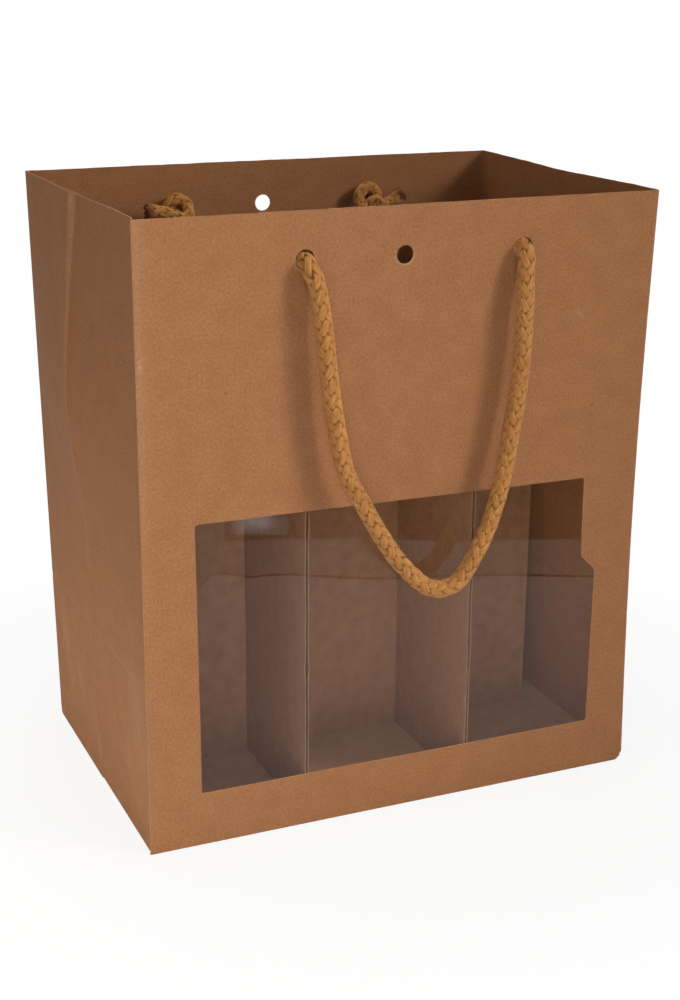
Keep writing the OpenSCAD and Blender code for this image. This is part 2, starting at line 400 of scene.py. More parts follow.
@dataclass(frozen=True)
class RawEdge:
    """Raw cut edge of paper board: torn pale fibres, quite matt."""

    name: str
    pale: str
    dark: str
    fibre_mm: float = 0.5

    def material(self) -> bpy.types.Material:
        """Builds the finish from a fine noise along the edge.

        Returns:
            The material.
        """
        material, tree, output = new_material(self.name)
        place = put(tree, "ShaderNodeTexCoord").outputs["Object"]
        noise = put(tree, "ShaderNodeTexNoise", {
            "Vector": place, "Scale": 1 / (self.fibre_mm * MM), "Detail": 3.0, "Roughness": 0.7})
        tone = ramp(tree, noise.outputs["Fac"], [(0.35, linear(self.dark)), (0.62, linear(self.pale))])
        bump = put(tree, "ShaderNodeBump", {
            "Strength": 0.4, "Distance": FIBRE_RELIEF, "Height": noise.outputs["Fac"]})
        shader = put(tree, "ShaderNodeBsdfPrincipled", {
            "Base Color": tone, "Roughness": 0.88, "Specular IOR Level": 0.2,
            "Normal": bump.outputs["Normal"]})
        tree.links.new(shader.outputs["BSDF"], output.inputs["Surface"])
        return material


@dataclass(frozen=True)
class LinerBoard:
    """Brown liner paper of fluted board or a plain grey-brown card, with faint lines over its flutes."""

    name: str
    brown: str
    pale: str
    deep: str
    cloud_mm: float = 6.0
    fibre_mm: float = 0.8
    flute_mm: float = 0.0
    flute_axis: int = 0
    roughness: float = 0.8

    def material(self) -> bpy.types.Material:
        """Builds the finish on Object coordinates, with washboard lines where flute_mm isn't 0.

        Returns:
            The material.
        """
        material, tree, output = new_material(self.name)
        place = put(tree, "ShaderNodeTexCoord").outputs["Object"]
        clouds = put(tree, "ShaderNodeTexNoise", {
            "Vector": place, "Scale": 1 / (self.cloud_mm * MM), "Detail": 2.0, "Roughness": 0.5})
        fibres = put(tree, "ShaderNodeTexNoise", {
            "Vector": place, "Scale": 1 / (self.fibre_mm * MM), "Detail": 3.0, "Roughness": 0.6})
        mixed = put(tree, "ShaderNodeMix", {
            "Factor": 0.6, "A": clouds.outputs["Fac"], "B": fibres.outputs["Fac"]}, data_type="FLOAT")
        height = mixed.outputs["Result"]
        if self.flute_mm:
            parts = put(tree, "ShaderNodeSeparateXYZ", {"Vector": place})
            turn = put(tree, "ShaderNodeMath", {
                0: parts.outputs[self.flute_axis], 1: 2 * math.pi / (self.flute_mm * MM)},
                operation="MULTIPLY")
            ridge = put(tree, "ShaderNodeMath", {0: turn.outputs[0]}, operation="SINE")
            faint = put(tree, "ShaderNodeMath", {0: ridge.outputs[0], 1: 0.03}, operation="MULTIPLY")
            added = put(tree, "ShaderNodeMath", {0: faint.outputs[0], 1: height}, operation="ADD")
            height = added.outputs[0]
        tone = ramp(tree, height, [
            (0.32, linear(self.deep)), (0.5, linear(self.brown)), (0.7, linear(self.pale))])
        bump = put(tree, "ShaderNodeBump", {"Strength": 0.1, "Distance": FIBRE_RELIEF, "Height": height})
        shader = put(tree, "ShaderNodeBsdfPrincipled", {
            "Base Color": tone, "Roughness": self.roughness, "Specular IOR Level": 0.3,
            "Normal": bump.outputs["Normal"]})
        tree.links.new(shader.outputs["BSDF"], output.inputs["Surface"])
        return material


@dataclass(frozen=True)
class ClearFilm:
    """Clear polypropylene window film: thin, glossy, colourless, and open to the lamps' light."""

    name: str = "clear_film"
    tint: str = "#f3f3f1"
    lamp_tint: str = "#f2f2f0"
    ior: float = 1.42
    roughness: float = 0.012

    def material(self) -> bpy.types.Material:
        """Builds the finish; lamp rays pass straight through, so what lies behind stays lit.

        Returns:
            The material.
        """
        material, tree, output = new_material(self.name)
        shader = put(tree, "ShaderNodeBsdfPrincipled", {
            "Base Color": linear(self.tint), "Roughness": self.roughness, "IOR": self.ior,
            "Transmission Weight": 1.0})
        clear = put(tree, "ShaderNodeBsdfTransparent", {"Color": linear(self.lamp_tint)})
        rays = put(tree, "ShaderNodeLightPath")
        mixed = put(tree, "ShaderNodeMixShader", {
            0: rays.outputs["Is Shadow Ray"], 1: shader.outputs["BSDF"], 2: clear.outputs["BSDF"]})
        tree.links.new(mixed.outputs["Shader"], output.inputs["Surface"])
        return material


@dataclass(frozen=True)
class BraidedYarn:
    """Soft spun yarn in golden tan, braided: dull, streaked by its filaments, with painted shade between
    strands.
    """

    name: str = "braided_rope"
    top: str = "#cf9757"
    mid: str = "#ab743c"
    # Dark end of the ramp: mostly painted shade in the gaps between strands.
    deep: str = "#5f3316"
    burnt: str = "#5c2f1a"
    filament_mm: float = 0.62
    stretch: float = 0.13
    cloud_mm: float = 4.0
    relief_mm: float = 0.4
    roughness: float = 0.85

    def material(self) -> bpy.types.Material:
        """Builds the finish; filaments run along each strand on its own UV coordinates.

        They are drawn about five times as coarse as real filaments, so that the streaks show.

        Returns:
            The material.
        """
        material, tree, output = new_material(self.name)
        strand = put(tree, "ShaderNodeUVMap", uv_map="sheet").outputs["UV"]
        drawn = put(tree, "ShaderNodeMapping", {"Vector": strand, "Scale": (self.stretch, 1.0, 1.0)})
        lines = put(tree, "ShaderNodeTexNoise", {
            "Vector": drawn.outputs["Vector"], "Scale": 1 / (self.filament_mm * MM), "Detail": 2.0,
            "Roughness": 0.6})
        place = put(tree, "ShaderNodeTexCoord").outputs["Object"]
        clouds = put(tree, "ShaderNodeTexNoise", {
            "Vector": place, "Scale": 1 / (self.cloud_mm * MM), "Detail": 2.0})
        # Painted shade: the depth attribute darkens the strands' flanks and the core between them.
        depth = put(tree, "ShaderNodeAttribute", attribute_name="depth").outputs["Fac"]
        body = put(tree, "ShaderNodeMath", {0: depth, 1: 0.46}, operation="MULTIPLY")
        shade = put(tree, "ShaderNodeMath", {0: lines.outputs["Fac"], 1: 0.64, 2: body.outputs[0]},
                    operation="MULTIPLY_ADD")
        level = put(tree, "ShaderNodeMath", {0: clouds.outputs["Fac"], 1: 0.14, 2: shade.outputs[0]},
                    operation="MULTIPLY_ADD")
        tone = ramp(tree, level.outputs[0], [
            (0.44, linear(self.deep)), (0.76, linear(self.mid)), (1.0, linear(self.top))])
        burn = put(tree, "ShaderNodeAttribute", attribute_name="burn").outputs["Fac"]
        char = put(tree, "ShaderNodeMath", {0: lines.outputs["Fac"], 1: 1.5, 2: burn},
                   operation="MULTIPLY_ADD")
        part = put(tree, "ShaderNodeMapRange", {
            "Value": char.outputs[0], "From Min": 0.95, "From Max": 1.6, "To Min": 0.0, "To Max": 0.9})
        singed = put(tree, "ShaderNodeMath", {0: part.outputs["Result"], 1: burn}, operation="MULTIPLY",
                     use_clamp=True)
        colour = put(tree, "ShaderNodeMix", {"Factor": singed.outputs[0], "A": tone, "B": linear(self.burnt)},
                     data_type="RGBA")
        bump = put(tree, "ShaderNodeBump", {
            "Strength": 1.0, "Distance": self.relief_mm * MM, "Height": lines.outputs["Fac"]})
        shader = put(tree, "ShaderNodeBsdfPrincipled", {
            "Base Color": colour.outputs["Result"], "Roughness": self.roughness, "Specular IOR Level": 0.25,
            "Sheen Weight": 0.1, "Sheen Roughness": 0.5, "Normal": bump.outputs["Normal"]})
        tree.links.new(shader.outputs["BSDF"], output.inputs["Surface"])
        return material


# The bag

class Fold(Enum):
    """Vertical folds and ends of the sheet, with their place on the flat blank in millimetres."""

    CUT_EDGE = 0.0
    FRONT_RIGHT = 220.0
    RIGHT_CENTRE = 291.0
    BACK_RIGHT = 362.0
    BACK_LEFT = 582.0
    LEFT_CENTRE_BACK = 651.6
    LEFT_CENTRE_FRONT = 654.4
    FRONT_LEFT = 724.0
    TAB_END = 735.0

    @property
    def row(self) -> int:
        """Number of the fold in the blank's order."""
        return list(Fold).index(self)


# Start and end of the right and the left side.  Distances at which the blank's points stand closer,
# across a fold, the level crease and a slanted crease.  Rings round a hole as parts of its size, and
# round the window as distances.  FAR stands for no crease nearby.  The last two are the metres by
# which the pattern of the inner face and of the bottom is moved.
SIDES = ((Fold.FRONT_RIGHT.value, Fold.BACK_RIGHT.value), (Fold.BACK_LEFT.value, Fold.FRONT_LEFT.value))
NEAR_FOLD = (-2.0, -1.2, -0.75, -0.5, -0.25, 0, 0.25, 0.5, 0.75, 1.2, 2.0)
NEAR_CREASE = (-1.6, -0.8, -0.3, 0.3, 0.8, 1.6)
NEAR_SLANT = (-1.3, -0.6, 0.0, 0.6, 1.3)
HOLE_RINGS = (1.0, 1.12, 1.35, 1.7)
WINDOW_RINGS = (0.0, 0.5, 1.3)
FAR = 1e3
INNER_UV = 0.31
BOTTOM_UV = 0.77


@dataclass
class CarrierSheet:
    """The bag: one sheet with its cut-outs, folded to a tube and glued by a tab at the front left.

    A point of the flat blank has a place s along it and a height z.  fold() maps it to the middle of
    the folded board, and the two faces lie half a board's thickness to either side along the normal.

    Attributes:
        board, edge: finishes of the faces and of the cut edges.
        width, depth, height, thick: sizes at the base, and the board's thickness.
        proud: how far the front's left edge stands out past the side glued to it.
        top_shift: how far the back's top edge stands to the left.
        bow, tuck: greatest bow of the front's right edge, and greatest push of the right side.
        crease_z, facet_rise: height of the level crease, and rise of the facets below it.
        fold_r, base_turn: radius of the upright folds, and inner radius of the turn under the base.
        crush_size, crush_move: where the crushed corner is cut, and how far it is pressed.
        lap, flap, short_flap, flap_inset: glued lap, flaps of the bottom, and their play.
        step: usual distance of the blank's points.
        window, corner_r: the window's corners in X and Z, and the radius at each.
        hole_z, holes: line of the rope holes, and X, Z and diameter of each hole.
        left_profile, facet: X of the left side's centre and width of its facet, by height.
        lean: how far the front's left edge stands to the right at its foot.
        rim_rise: rise of the left side's top edge, by place on the blank.
        rubbed: wear of the left side's centre fold, by height.
        scuffs_and_sheen: place on the blank, height, length, tilt and weight of each pale streak; the large
            ones low on the left side are partly scuff marks and partly painted sheen.
    """

    board: KraftBoard
    edge: RawEdge
    width: float = 220.0
    depth: float = 142.0
    height: float = 254.0
    thick: float = 0.5
    proud: float = 0.3
    top_shift: float = 4.5
    bow: float = 2.5
    tuck: float = 4.0
    crease_z: float = 71.0
    facet_rise: float = 3.2
    fold_r: float = 0.75
    base_turn: float = 0.6
    crush_size: tuple[float, float, float] = (3.6, 8.0, 3.4)
    crush_move: tuple[float, float, float] = (-2.2, 0.9, 1.32)
    lap: float = 10.7
    flap: float = 86.0
    short_flap: float = 55.5
    flap_inset: float = 0.9
    step: float = 3.0
    window: tuple[tuple[float, float], ...] = (
        (-88.0, 23.3), (89.9, 22.9), (89.9, 94.0), (82.8, 100.8), (82.3, 135.9), (-88.9, 137.5))
    corner_r: float = 1.3
    hole_z: float = 235.0
    holes: tuple[tuple[float, float, float], ...] = (
        (-43.9, 235.6, 8.0), (48.5, 234.7, 8.0), (-2.8, 235.1, 7.2))
    left_profile: tuple[tuple[float, float], ...] = (
        (0, -110), (74.5, -111.8), (100, -112.2), (118.5, -112.8), (128.7, -114.7), (145, -116.7),
        (164, -119.0), (174, -119.3), (192, -118.5), (203, -117.8), (228, -116.2), (254, -113.8))
    facet: tuple[tuple[float, float], ...] = (
        (0, 0.5), (150, 0.6), (175, 0.9), (192, 1.2), (211, 2.0), (226, 2.6), (245, 3.2), (254, 3.4))
    lean: float = 0.45
    rim_rise: tuple[tuple[float, float], ...] = (
        (582, 0.2), (651, 0.9), (652.5, 0.9), (655, 0.0), (724, 0.9))
    rubbed: tuple[tuple[float, float], ...] = ((0, 0.05), (150, 0.08), (200, 0.16), (254, 0.26))
    # Pale streaks: the six large ones low on the left side are partly scuff marks and partly painted sheen;
    # the four small ones are scuff marks.
    scuffs_and_sheen: tuple[tuple[float, float, float, float, float], ...] = (
        (604, 48, 22, -0.35, 0.5), (628, 34, 16, -0.5, 0.35), (652, 14, 14, -0.3, 0.35),
        (711, 52, 24, -0.2, 0.3), (700, 30, 18, -0.25, 0.25), (1.6, 201, 2.2, 0.4, 0.8),
        (652, 250, 2.5, 0.2, 0.5), (7.6, 243, 2.5, 0.9, 0.45), (186, 206, 3.0, 0.7, 0.4),
        (719, 41, 20, -0.1, 0.2))

    def hole_shift(self) -> float:
        """Distance by which the back's holes have slid to the left."""
        return self.top_shift * self.hole_z / self.height

    def corners(self, z: np.ndarray) -> np.ndarray:
        """Folds of the tube at each height, in the middle of the board.

        The front's right edge bows in on a sine, the back's edges slide left in proportion to the
        height, the left side's centre follows the measured bulge and carries a narrow facet, and the
        right side's centre is pushed in above the slanted creases.

        Args:
            z: heights.

        Returns:
            Array of heights x folds x 2 with X and Y.
        """
        half, deep, t = self.width / 2, self.depth / 2, self.thick / 2
        up = np.clip(z, 0, self.height)
        front_r = half - self.bow * np.sin(math.pi * up / self.height) - t
        slide = self.top_shift * up / self.height
        back_l, back_r = -half - slide + t, half - slide - t
        tuck = self.tuck * np.maximum(0, up - self.crease_z) / (self.height - self.crease_z)
        side_r = (front_r + back_r) / 2 - tuck
        side_l = through(up, self.left_profile, 7.0) + t
        band = through(up, self.facet, 8.0)
        lean = self.lean * (1 - up / self.height)
        rows = [
            (-half - self.proud + lean, np.full_like(up, -deep + t)),
            (front_r, np.full_like(up, -deep + t)),
            (side_r, np.zeros_like(up)),
            (back_r, np.full_like(up, deep - t)),
            (back_l, np.full_like(up, deep - t)),
            (side_l, 0.35 * band),
            (side_l + 0.74 * band, -0.35 * band),
            (-half + t + lean, np.full_like(up, -deep + 3 * t)),
            (-half + t + self.lap + lean, np.full_like(up, -deep + 3 * t)),
        ]
        return np.stack([np.stack(r, axis=-1) for r in rows], axis=-2)

    def run(self, s: np.ndarray, z: np.ndarray) -> np.ndarray:
        """Place in plan of blank points: straight panels joined by rounded folds.

        Within a fold's radius the two straight runs are blended as a quadratic curve, whose middle
        control point is the fold's corner.

        Args:
            s: places along the blank.
            z: heights.

        Returns:
            n x 2 array of X and Y.
        """
        ends = np.array([f.value for f in Fold])
        corner = self.corners(z)
        k = np.clip(np.searchsorted(ends, s, side="right") - 1, 0, len(ends) - 2)
        row = np.arange(len(s))
        share = ((s - ends[k]) / (ends[k + 1] - ends[k]))[:, None]
        place = corner[row, k] * (1 - share) + corner[row, k + 1] * share
        for i in range(1, len(ends) - 1):
            near = np.abs(s - ends[i]) < self.fold_r
            if not near.any():
                continue
            c = corner[near, i]
            before, after = corner[near, i - 1], corner[near, i + 1]
            a = c + (before - c) * (self.fold_r / (ends[i] - ends[i - 1]))
            b = c + (after - c) * (self.fold_r / (ends[i + 1] - ends[i]))
            t = ((s[near] - ends[i] + self.fold_r) / (2 * self.fold_r))[:, None]
            place[near] = (1 - t) ** 2 * a + 2 * t * (1 - t) * c + t ** 2 * b
        return place

    def crease_distance(self, s: np.ndarray, z: np.ndarray) -> np.ndarray:
        """Distance of blank points from the block bottom's creases on the two sides.

        The upright crease below the level one is the faintest, and counts as 0.4 mm further off.

        Args:
            s: places along the blank.
            z: heights on the blank.

        Returns:
            The distance at each place, and a large one off the sides.
        """
        best = np.full(len(s), FAR)
        for a, b in SIDES:
            slant = np.abs(z - np.clip(np.minimum(s - a, b - s), 0, self.crease_z)) / math.sqrt(2)
            level = np.abs(z - self.crease_z)
            centre = np.where(z < self.crease_z, np.abs(s - (a + b) / 2) + 0.4, FAR)
            nearest = np.minimum(np.minimum(slant, level), centre)
            best = np.where((s > a) & (s < b), nearest, best)
        return best

    def pleat(self, s: np.ndarray, z: np.ndarray) -> np.ndarray:
        """Flat facets of the block bottom on the two sides, as a distance outwards.

        With u as the distance from the nearer vertical fold and c as the crease's height, it is
        facet_rise times (min(u, z) / c - u z / c2) below the crease, and 0 above.

        Args:
            s: places along the blank.
            z: heights on the blank.

        Returns:
            The distance at each place.
        """
        u = np.max([np.minimum(s - a, b - s) for a, b in SIDES], axis=0)
        u = np.clip(u, 0, self.crease_z)
        low = np.clip(z, 0, self.crease_z)
        return self.facet_rise * (np.minimum(u, low) / self.crease_z - u * low / self.crease_z ** 2)

    def fold(self, s: np.ndarray, z: np.ndarray) -> np.ndarray:
        """Middle of the folded board at blank points.

        On top of the plan the board waves softly, dips along the creases, turns in under the base on
        a quarter circle, is a little uneven along its top edge, and is crushed at one bottom corner.

        Args:
            s: places along the blank.
            z: heights on the blank.

        Returns:
            n x 3 array of places.
        """
        probe = 0.05
        plan = self.run(s, z)
        along = self.run(s + probe, z) - self.run(s - probe, z)
        out = unit(np.stack([along[:, 1], -along[:, 0]], axis=-1))
        ends = np.array([f.value for f in Fold])
        from_fold = np.min(np.abs(s[:, None] - ends[None, :]), axis=1)
        inner = ease(from_fold / 12) * ease(z / 15)
        on_side = np.any([(s > a + 5) & (s < b - 5) for a, b in SIDES], axis=0)
        swell = waves(s, z, 95, SEED) * np.where(on_side, 0.45, 0.16) * inner
        swell = swell + waves(s, z, 28, SEED + 1) * np.where(on_side, 0.09, 0.035) * inner
        swell = swell - 0.14 * hill(self.crease_distance(s, z), 0.8) + self.pleat(s, z)
        turn_r = self.thick / 2 + self.base_turn
        level = turn_r + self.thick / 2
        under = np.clip(level - z, 0, None) / turn_r
        angle = np.minimum(under, math.pi / 2)
        inward = turn_r * (1 - np.cos(angle)) + turn_r * np.maximum(0, under - math.pi / 2)
        height = np.where(z < level, level - turn_r * np.sin(angle), z)
        on_left = (s > Fold.BACK_LEFT.value) & (s < Fold.FRONT_LEFT.value)
        rise = np.where(on_left, np.interp(s, *zip(*self.rim_rise)), 0.0)
        rough = 0.10 * waves(s, z * 0, 23, SEED + 2) + 0.05 * waves(s, z * 0, 6, SEED + 3)
        height = height + (rise + rough) * ease((z - 190) / 64)
        flat = plan + out * (swell - inward)[:, None]
        place = np.concatenate([flat, height[:, None]], axis=1)
        return self.crush(place)

    def crush(self, place: np.ndarray) -> np.ndarray:
        """Presses the crushed bottom corner, front right, back to a slanted plane.

        The plane cuts crush_size off the corner's edges along X and Z.  With c = 1 - (110 - x) / size
        - z / size as the part past it, c fades over the size along Y, and a point moves by c times
        crush_move.

        Args:
            place: n x 3 places.

        Returns:
            The moved places.
        """
        along_x, along_y, along_z = self.crush_size
        past = 1 - (self.width / 2 - place[:, 0]) / along_x - place[:, 2] / along_z
        past = np.maximum(past, 0) * ease(1 - (place[:, 1] + self.depth / 2) / along_y)
        return place + past[:, None] * np.array(self.crush_move)

    def shell(self, s: np.ndarray, z: np.ndarray) -> tuple[np.ndarray, np.ndarray]:
        """Outer and inner face of the folded board: fold() moved half its thickness each way.

        The normal is the cross product of fold()'s slopes along s and along z.

        Args:
            s: places along the blank.
            z: heights on the blank.

        Returns:
            The outer and the inner places, each n x 3.
        """
        probe = 0.04
        along = self.fold(s + probe, z) - self.fold(s - probe, z)
        up = self.fold(s, z + probe) - self.fold(s, z - probe)
        normal = unit(np.cross(along, up))
        middle = self.fold(s, z)
        return middle + normal * self.thick / 2, middle - normal * self.thick / 2

    def blank_s(self, x: np.ndarray, z: np.ndarray, back: bool) -> np.ndarray:
        """Place on the blank of points of the flat front or back.

        Args:
            x: their X.
            z: their heights.
            back: whether they lie on the back.

        Returns:
            Their places along the blank.
        """
        start, end = (Fold.BACK_RIGHT, Fold.BACK_LEFT) if back else (Fold.CUT_EDGE, Fold.FRONT_RIGHT)
        corner = self.corners(np.asarray(z, float))
        a, b = corner[..., start.row, 0], corner[..., end.row, 0]
        return start.value + (x - a) / (b - a) * (end.value - start.value)

    def window_line(self, grow: float, spacing: float = 2.0) -> np.ndarray:
        """Outline of the window in X and Z, grown outwards, with rounded corners.

        Each corner is a quadratic curve that starts and ends at the corner radius from it.

        Args:
            grow: distance to the outside.
            spacing: usual distance of the points.

        Returns:
            m x 2 array, anticlockwise.
        """
        pts = np.array(self.window)
        n = len(pts)
        out = []
        for i in range(n):
            before, after = unit(pts[i] - pts[i - 1]), unit(pts[(i + 1) % n] - pts[i])
            n0, n1 = np.array([before[1], -before[0]]), np.array([after[1], -after[0]])
            out.append(pts[i] + grow * (n0 + n1) / (1 + n0 @ n1))
        pts, line, r = np.array(out), [], self.corner_r
        t = np.linspace(0, 1, 6)[:, None]
        for i in range(n):
            p, q = pts[i], pts[(i + 1) % n]
            a, b = p + r * unit(pts[i - 1] - p), p + r * unit(q - p)
            line.append((1 - t) ** 2 * a + 2 * t * (1 - t) * p + t ** 2 * b)
            end = q + r * unit(p - q)
            count = max(2, int(np.linalg.norm(end - b) / spacing))
            line.append(b + (end - b) * np.linspace(0, 1, count + 1)[1:-1, None])
        return np.concatenate(line)

    def grid(self) -> np.ndarray:
        """Columns and rows of points over the blank, closer along the folds and the level crease.

        The lowest rows make the quarter turn under the base.

        Returns:
            n x 2 places on the blank.
        """
        ends = [f.value for f in Fold]
        columns = [np.linspace(a, b, max(1, round((b - a) / self.step)) + 1)
                   for a, b in zip(ends[:-1], ends[1:])]
        columns += [e + np.array(NEAR_FOLD) for e in ends]
        turned = -1.12 + np.linspace(0, 2.25, 10)
        upright = np.linspace(1.13, self.height, round(self.height / self.step) + 1)
        s = thinned(np.clip(np.concatenate(columns), ends[0], ends[-1]))
        z = thinned(np.concatenate([
            turned, upright, self.crease_z + np.array(NEAR_CREASE), [self.height - 0.6]]))
        return np.stack(np.meshgrid(s, z, indexing="ij"), axis=-1).reshape(-1, 2)

    def blank(self) -> tuple[np.ndarray, np.ndarray]:
        """Triangles of the flat blank with the window and the holes cut out.

        The grid is cleared near each cut-out and slanted crease, and joined to the cut-outs'
        outlines, their parallel rings and the creases by a Delaunay triangulation.

        Returns:
            n x 2 places on the blank and m x 3 anticlockwise triangles.
        """
        grid = self.grid()
        keep = np.ones(len(grid), bool)
        outlines, rings = [], []
        turn = np.linspace(0, 2 * math.pi, 33)[:-1]
        for back in (False, True):
            for x, mid, d in self.holes:
                at = x - (self.hole_shift() if back else 0)
                for scale in HOLE_RINGS:
                    zz = mid + d / 2 * scale * np.sin(turn)
                    xx = at + d / 2 * scale * np.cos(turn)
                    loop = np.stack([self.blank_s(xx, zz, back), zz], axis=-1)
                    if back:
                        loop = loop[::-1]
                    (outlines if scale == 1.0 else rings).append(loop)
                centre = np.array([float(self.blank_s(np.array([at]), np.array([mid]), back)[0]), mid])
                keep &= np.linalg.norm(grid - centre, axis=1) > d / 2 * HOLE_RINGS[-1] + 0.8
        for grow in WINDOW_RINGS:
            line = self.window_line(grow)
            loop = np.stack([self.blank_s(line[:, 0], line[:, 1], False), line[:, 1]], axis=-1)
            (outlines if grow == 0.0 else rings).append(loop)
        keep &= ~inside_loop(grid, rings[-1], 0.7)
        slants = []
        t = np.linspace(2.5, self.crease_z - 2.5, 34)
        for a, b in SIDES:
            for off in NEAR_SLANT:
                slants.append(np.stack([a + t + off * 0.707, t - off * 0.707], axis=-1))
                slants.append(np.stack([b - t - off * 0.707, t - off * 0.707], axis=-1))
            slant = np.abs(grid[:, 1] - np.minimum(grid[:, 0] - a, b - grid[:, 0])) / math.sqrt(2)
            side = (grid[:, 0] > a + 2) & (grid[:, 0] < b - 2) & (grid[:, 1] < self.crease_z - 1.5)
            side &= (np.abs(grid[:, 0] - (a + b) / 2) > 2.2) & (grid[:, 1] > 1.3)
            keep &= ~(side & (slant < 1.9))
        loops = outlines + rings
        points = np.concatenate([grid[keep]] + slants + loops)
        first = len(points) - sum(len(l) for l in loops)
        edges = []
        for loop in loops:
            number = first + np.arange(len(loop))
            edges += list(zip(number.tolist(), np.roll(number, -1).tolist()))
            first += len(loop)
        flat, _, faces, _, _, _ = geometry.delaunay_2d_cdt(
            [Vector(p) for p in points.tolist()], edges, [], 0, 1e-5)
        flat = np.array([tuple(v) for v in flat])
        faces = np.array([f for f in faces if len(f) == 3])
        middle = flat[faces].mean(axis=1)
        gone = np.zeros(len(faces), bool)
        for loop in outlines:
            gone |= inside_loop(middle, loop, 0.0)
        faces = faces[~gone]
        a, b, c = (flat[faces[:, i]] for i in range(3))
        area = (b[:, 0] - a[:, 0]) * (c[:, 1] - a[:, 1]) - (b[:, 1] - a[:, 1]) * (c[:, 0] - a[:, 0])
        faces = np.where((area < 0)[:, None], faces[:, ::-1], faces)[np.abs(area) > 1e-6]
        used = np.unique(faces)
        number = np.full(len(flat), -1)
        number[used] = np.arange(len(used))
        return flat[used], number[faces]

    def wear_and_highlight(self, s: np.ndarray, z: np.ndarray) -> np.ndarray:
        """Share of the pale tone: worn fibres along folds and creases and in scuff marks, and painted light.

        A scuff has its place on the blank, length, tilt and weight, and is an oval of fine streaks.  The
        large streaks low on the left side are partly scuffing and partly painted sheen.  The ring under
        each hole is crushed fibres and a painted highlight on its lower lip, and the strip along the
        front's left edge is a painted highlight.

        Args:
            s: places along the blank.
            z: heights on the blank.

        Returns:
            The share at each place, 0 to 1.
        """
        value = 0.12 * hill(self.crease_distance(s, z), 0.7)
        left_centre = (Fold.BACK_LEFT.value + Fold.FRONT_LEFT.value) / 2
        value = np.maximum(value, hill(s - left_centre, 1.9) * through(z, self.rubbed, 10))
        # Painted highlight: a paler strip along the front's left edge, where the board turns, growing
        # upwards.
        value = np.maximum(value, 0.22 * hill(s - 1.6, 1.5) * ease((z - 60) / 120))
        for e in (Fold.FRONT_RIGHT, Fold.BACK_RIGHT, Fold.BACK_LEFT, Fold.RIGHT_CENTRE):
            value = np.maximum(value, 0.25 * hill(s - e.value, 0.6))
        # Crushed fibres and a painted highlight on each hole's lower lip: paler below the hole than above it.
        for x, mid, d in self.holes:
            for back in (False, True):
                centre = np.array([x - self.hole_shift() * back])
                at = float(self.blank_s(centre, np.array([mid]), back)[0])
                rim = np.hypot(s - at, z - mid) - d / 2
                value = np.maximum(value, hill(rim, 0.42) * ease(0.62 - (z - mid) / d * 1.1))
        # Pale streaks: scuff marks, and on the lower left side also painted sheen.
        for at, height, length, tilt, weight in self.scuffs_and_sheen:
            along = (s - at) * math.sin(tilt) + (z - height) * math.cos(tilt)
            across = (s - at) * math.cos(tilt) - (z - height) * math.sin(tilt)
            streaks = 0.55 + 0.45 * waves(across * 3.2, along * 0.25, 9, SEED + 5)
            value = value + weight * hill(along, length) * hill(across, length / 3.2) * streaks
        return np.clip(value, 0, 1)

    def plates(self) -> tuple[np.ndarray, np.ndarray]:
        """The block bottom's layers as thin plates with the shapes of the folded flaps.

        Returns:
            n x 3 places and quads.
        """
        fx, fy, t = self.width / 2 - self.flap_inset, self.depth / 2 - self.flap_inset, self.thick
        outlines = [(z0, [(-fx, fy * way), (fx, fy * way), (fx - flap, (fy - flap) * way),
                          (flap - fx, (fy - flap) * way)])
                    for z0, flap, way in ((0.02, self.flap, 1), (0.04, self.short_flap, -1),
                                          (0.02 + t, self.flap, -1))]
        outlines += [(1.0, [(-fx * way, -fy), (-fx * way, fy), ((self.flap - fx) * way, fy),
                            ((self.flap - fx) * way, -fy)]) for way in (-1, 1)]
        walls = [[i, (i + 1) % 4, (i + 1) % 4 + 4, i + 4] for i in range(4)]
        quads = np.array([[3, 2, 1, 0], [4, 5, 6, 7]] + walls)
        plates = []
        for z0, line in outlines:
            ring = np.array(line, float)
            area = np.sum(ring[:, 0] * np.roll(ring[:, 1], -1) - ring[:, 1] * np.roll(ring[:, 0], -1))
            ring = ring if area > 0 else ring[::-1]
            flat = np.concatenate([np.column_stack([ring, np.full(4, z)]) for z in (z0, z0 + t - 0.04)])
            plates.append((np.column_stack([self.crush(flat)[:, :2], flat[:, 2]]), quads))
        return joined(plates)

    def build(self) -> bpy.types.Object:
        """Folds the blank up, closes its cut edges and adds the bottom's layers.

        Returns:
            The bag's piece.
        """
        flat, tri = self.blank()
        s, z = flat[:, 0], flat[:, 1]
        outer, inner = self.shell(s, z)
        n = len(flat)
        sides = np.concatenate([tri[:, [0, 1]], tri[:, [1, 2]], tri[:, [2, 0]]])
        key = np.sort(sides, axis=1)
        _, index, count = np.unique(key, axis=0, return_index=True, return_counts=True)
        rim = sides[index[count == 1]]
        quads = np.column_stack([rim[:, 1], rim[:, 0], rim[:, 0] + n, rim[:, 1] + n])
        plates, bottoms = self.plates()
        points = np.concatenate([outer, inner, plates])
        uv = np.zeros((len(points), 2))
        uv[:n] = flat * MM
        uv[n:2 * n] = flat * MM + INNER_UV
        uv[2 * n:] = plates[:, :2] * MM + BOTTOM_UV
        wear_and_highlight = np.zeros(len(points))
        wear_and_highlight[:n] = self.wear_and_highlight(s, z)
        wear_and_highlight[n:2 * n] = 0.5 * self.wear_and_highlight(s, z)
        triangles = np.concatenate([tri, tri[:, ::-1] + n])
        which = np.concatenate([np.zeros(len(triangles)), np.ones(len(quads)), np.zeros(len(bottoms))])
        bag = make_piece("bag_sheet", points, [triangles, np.concatenate([quads, bottoms + 2 * n])],
                         [self.board.material(), self.edge.material()], which, uv, {"wear_and_highlight": wear_and_highlight}, 38)
        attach(bag, "bag")
        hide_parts("carrier_body")
        return bag


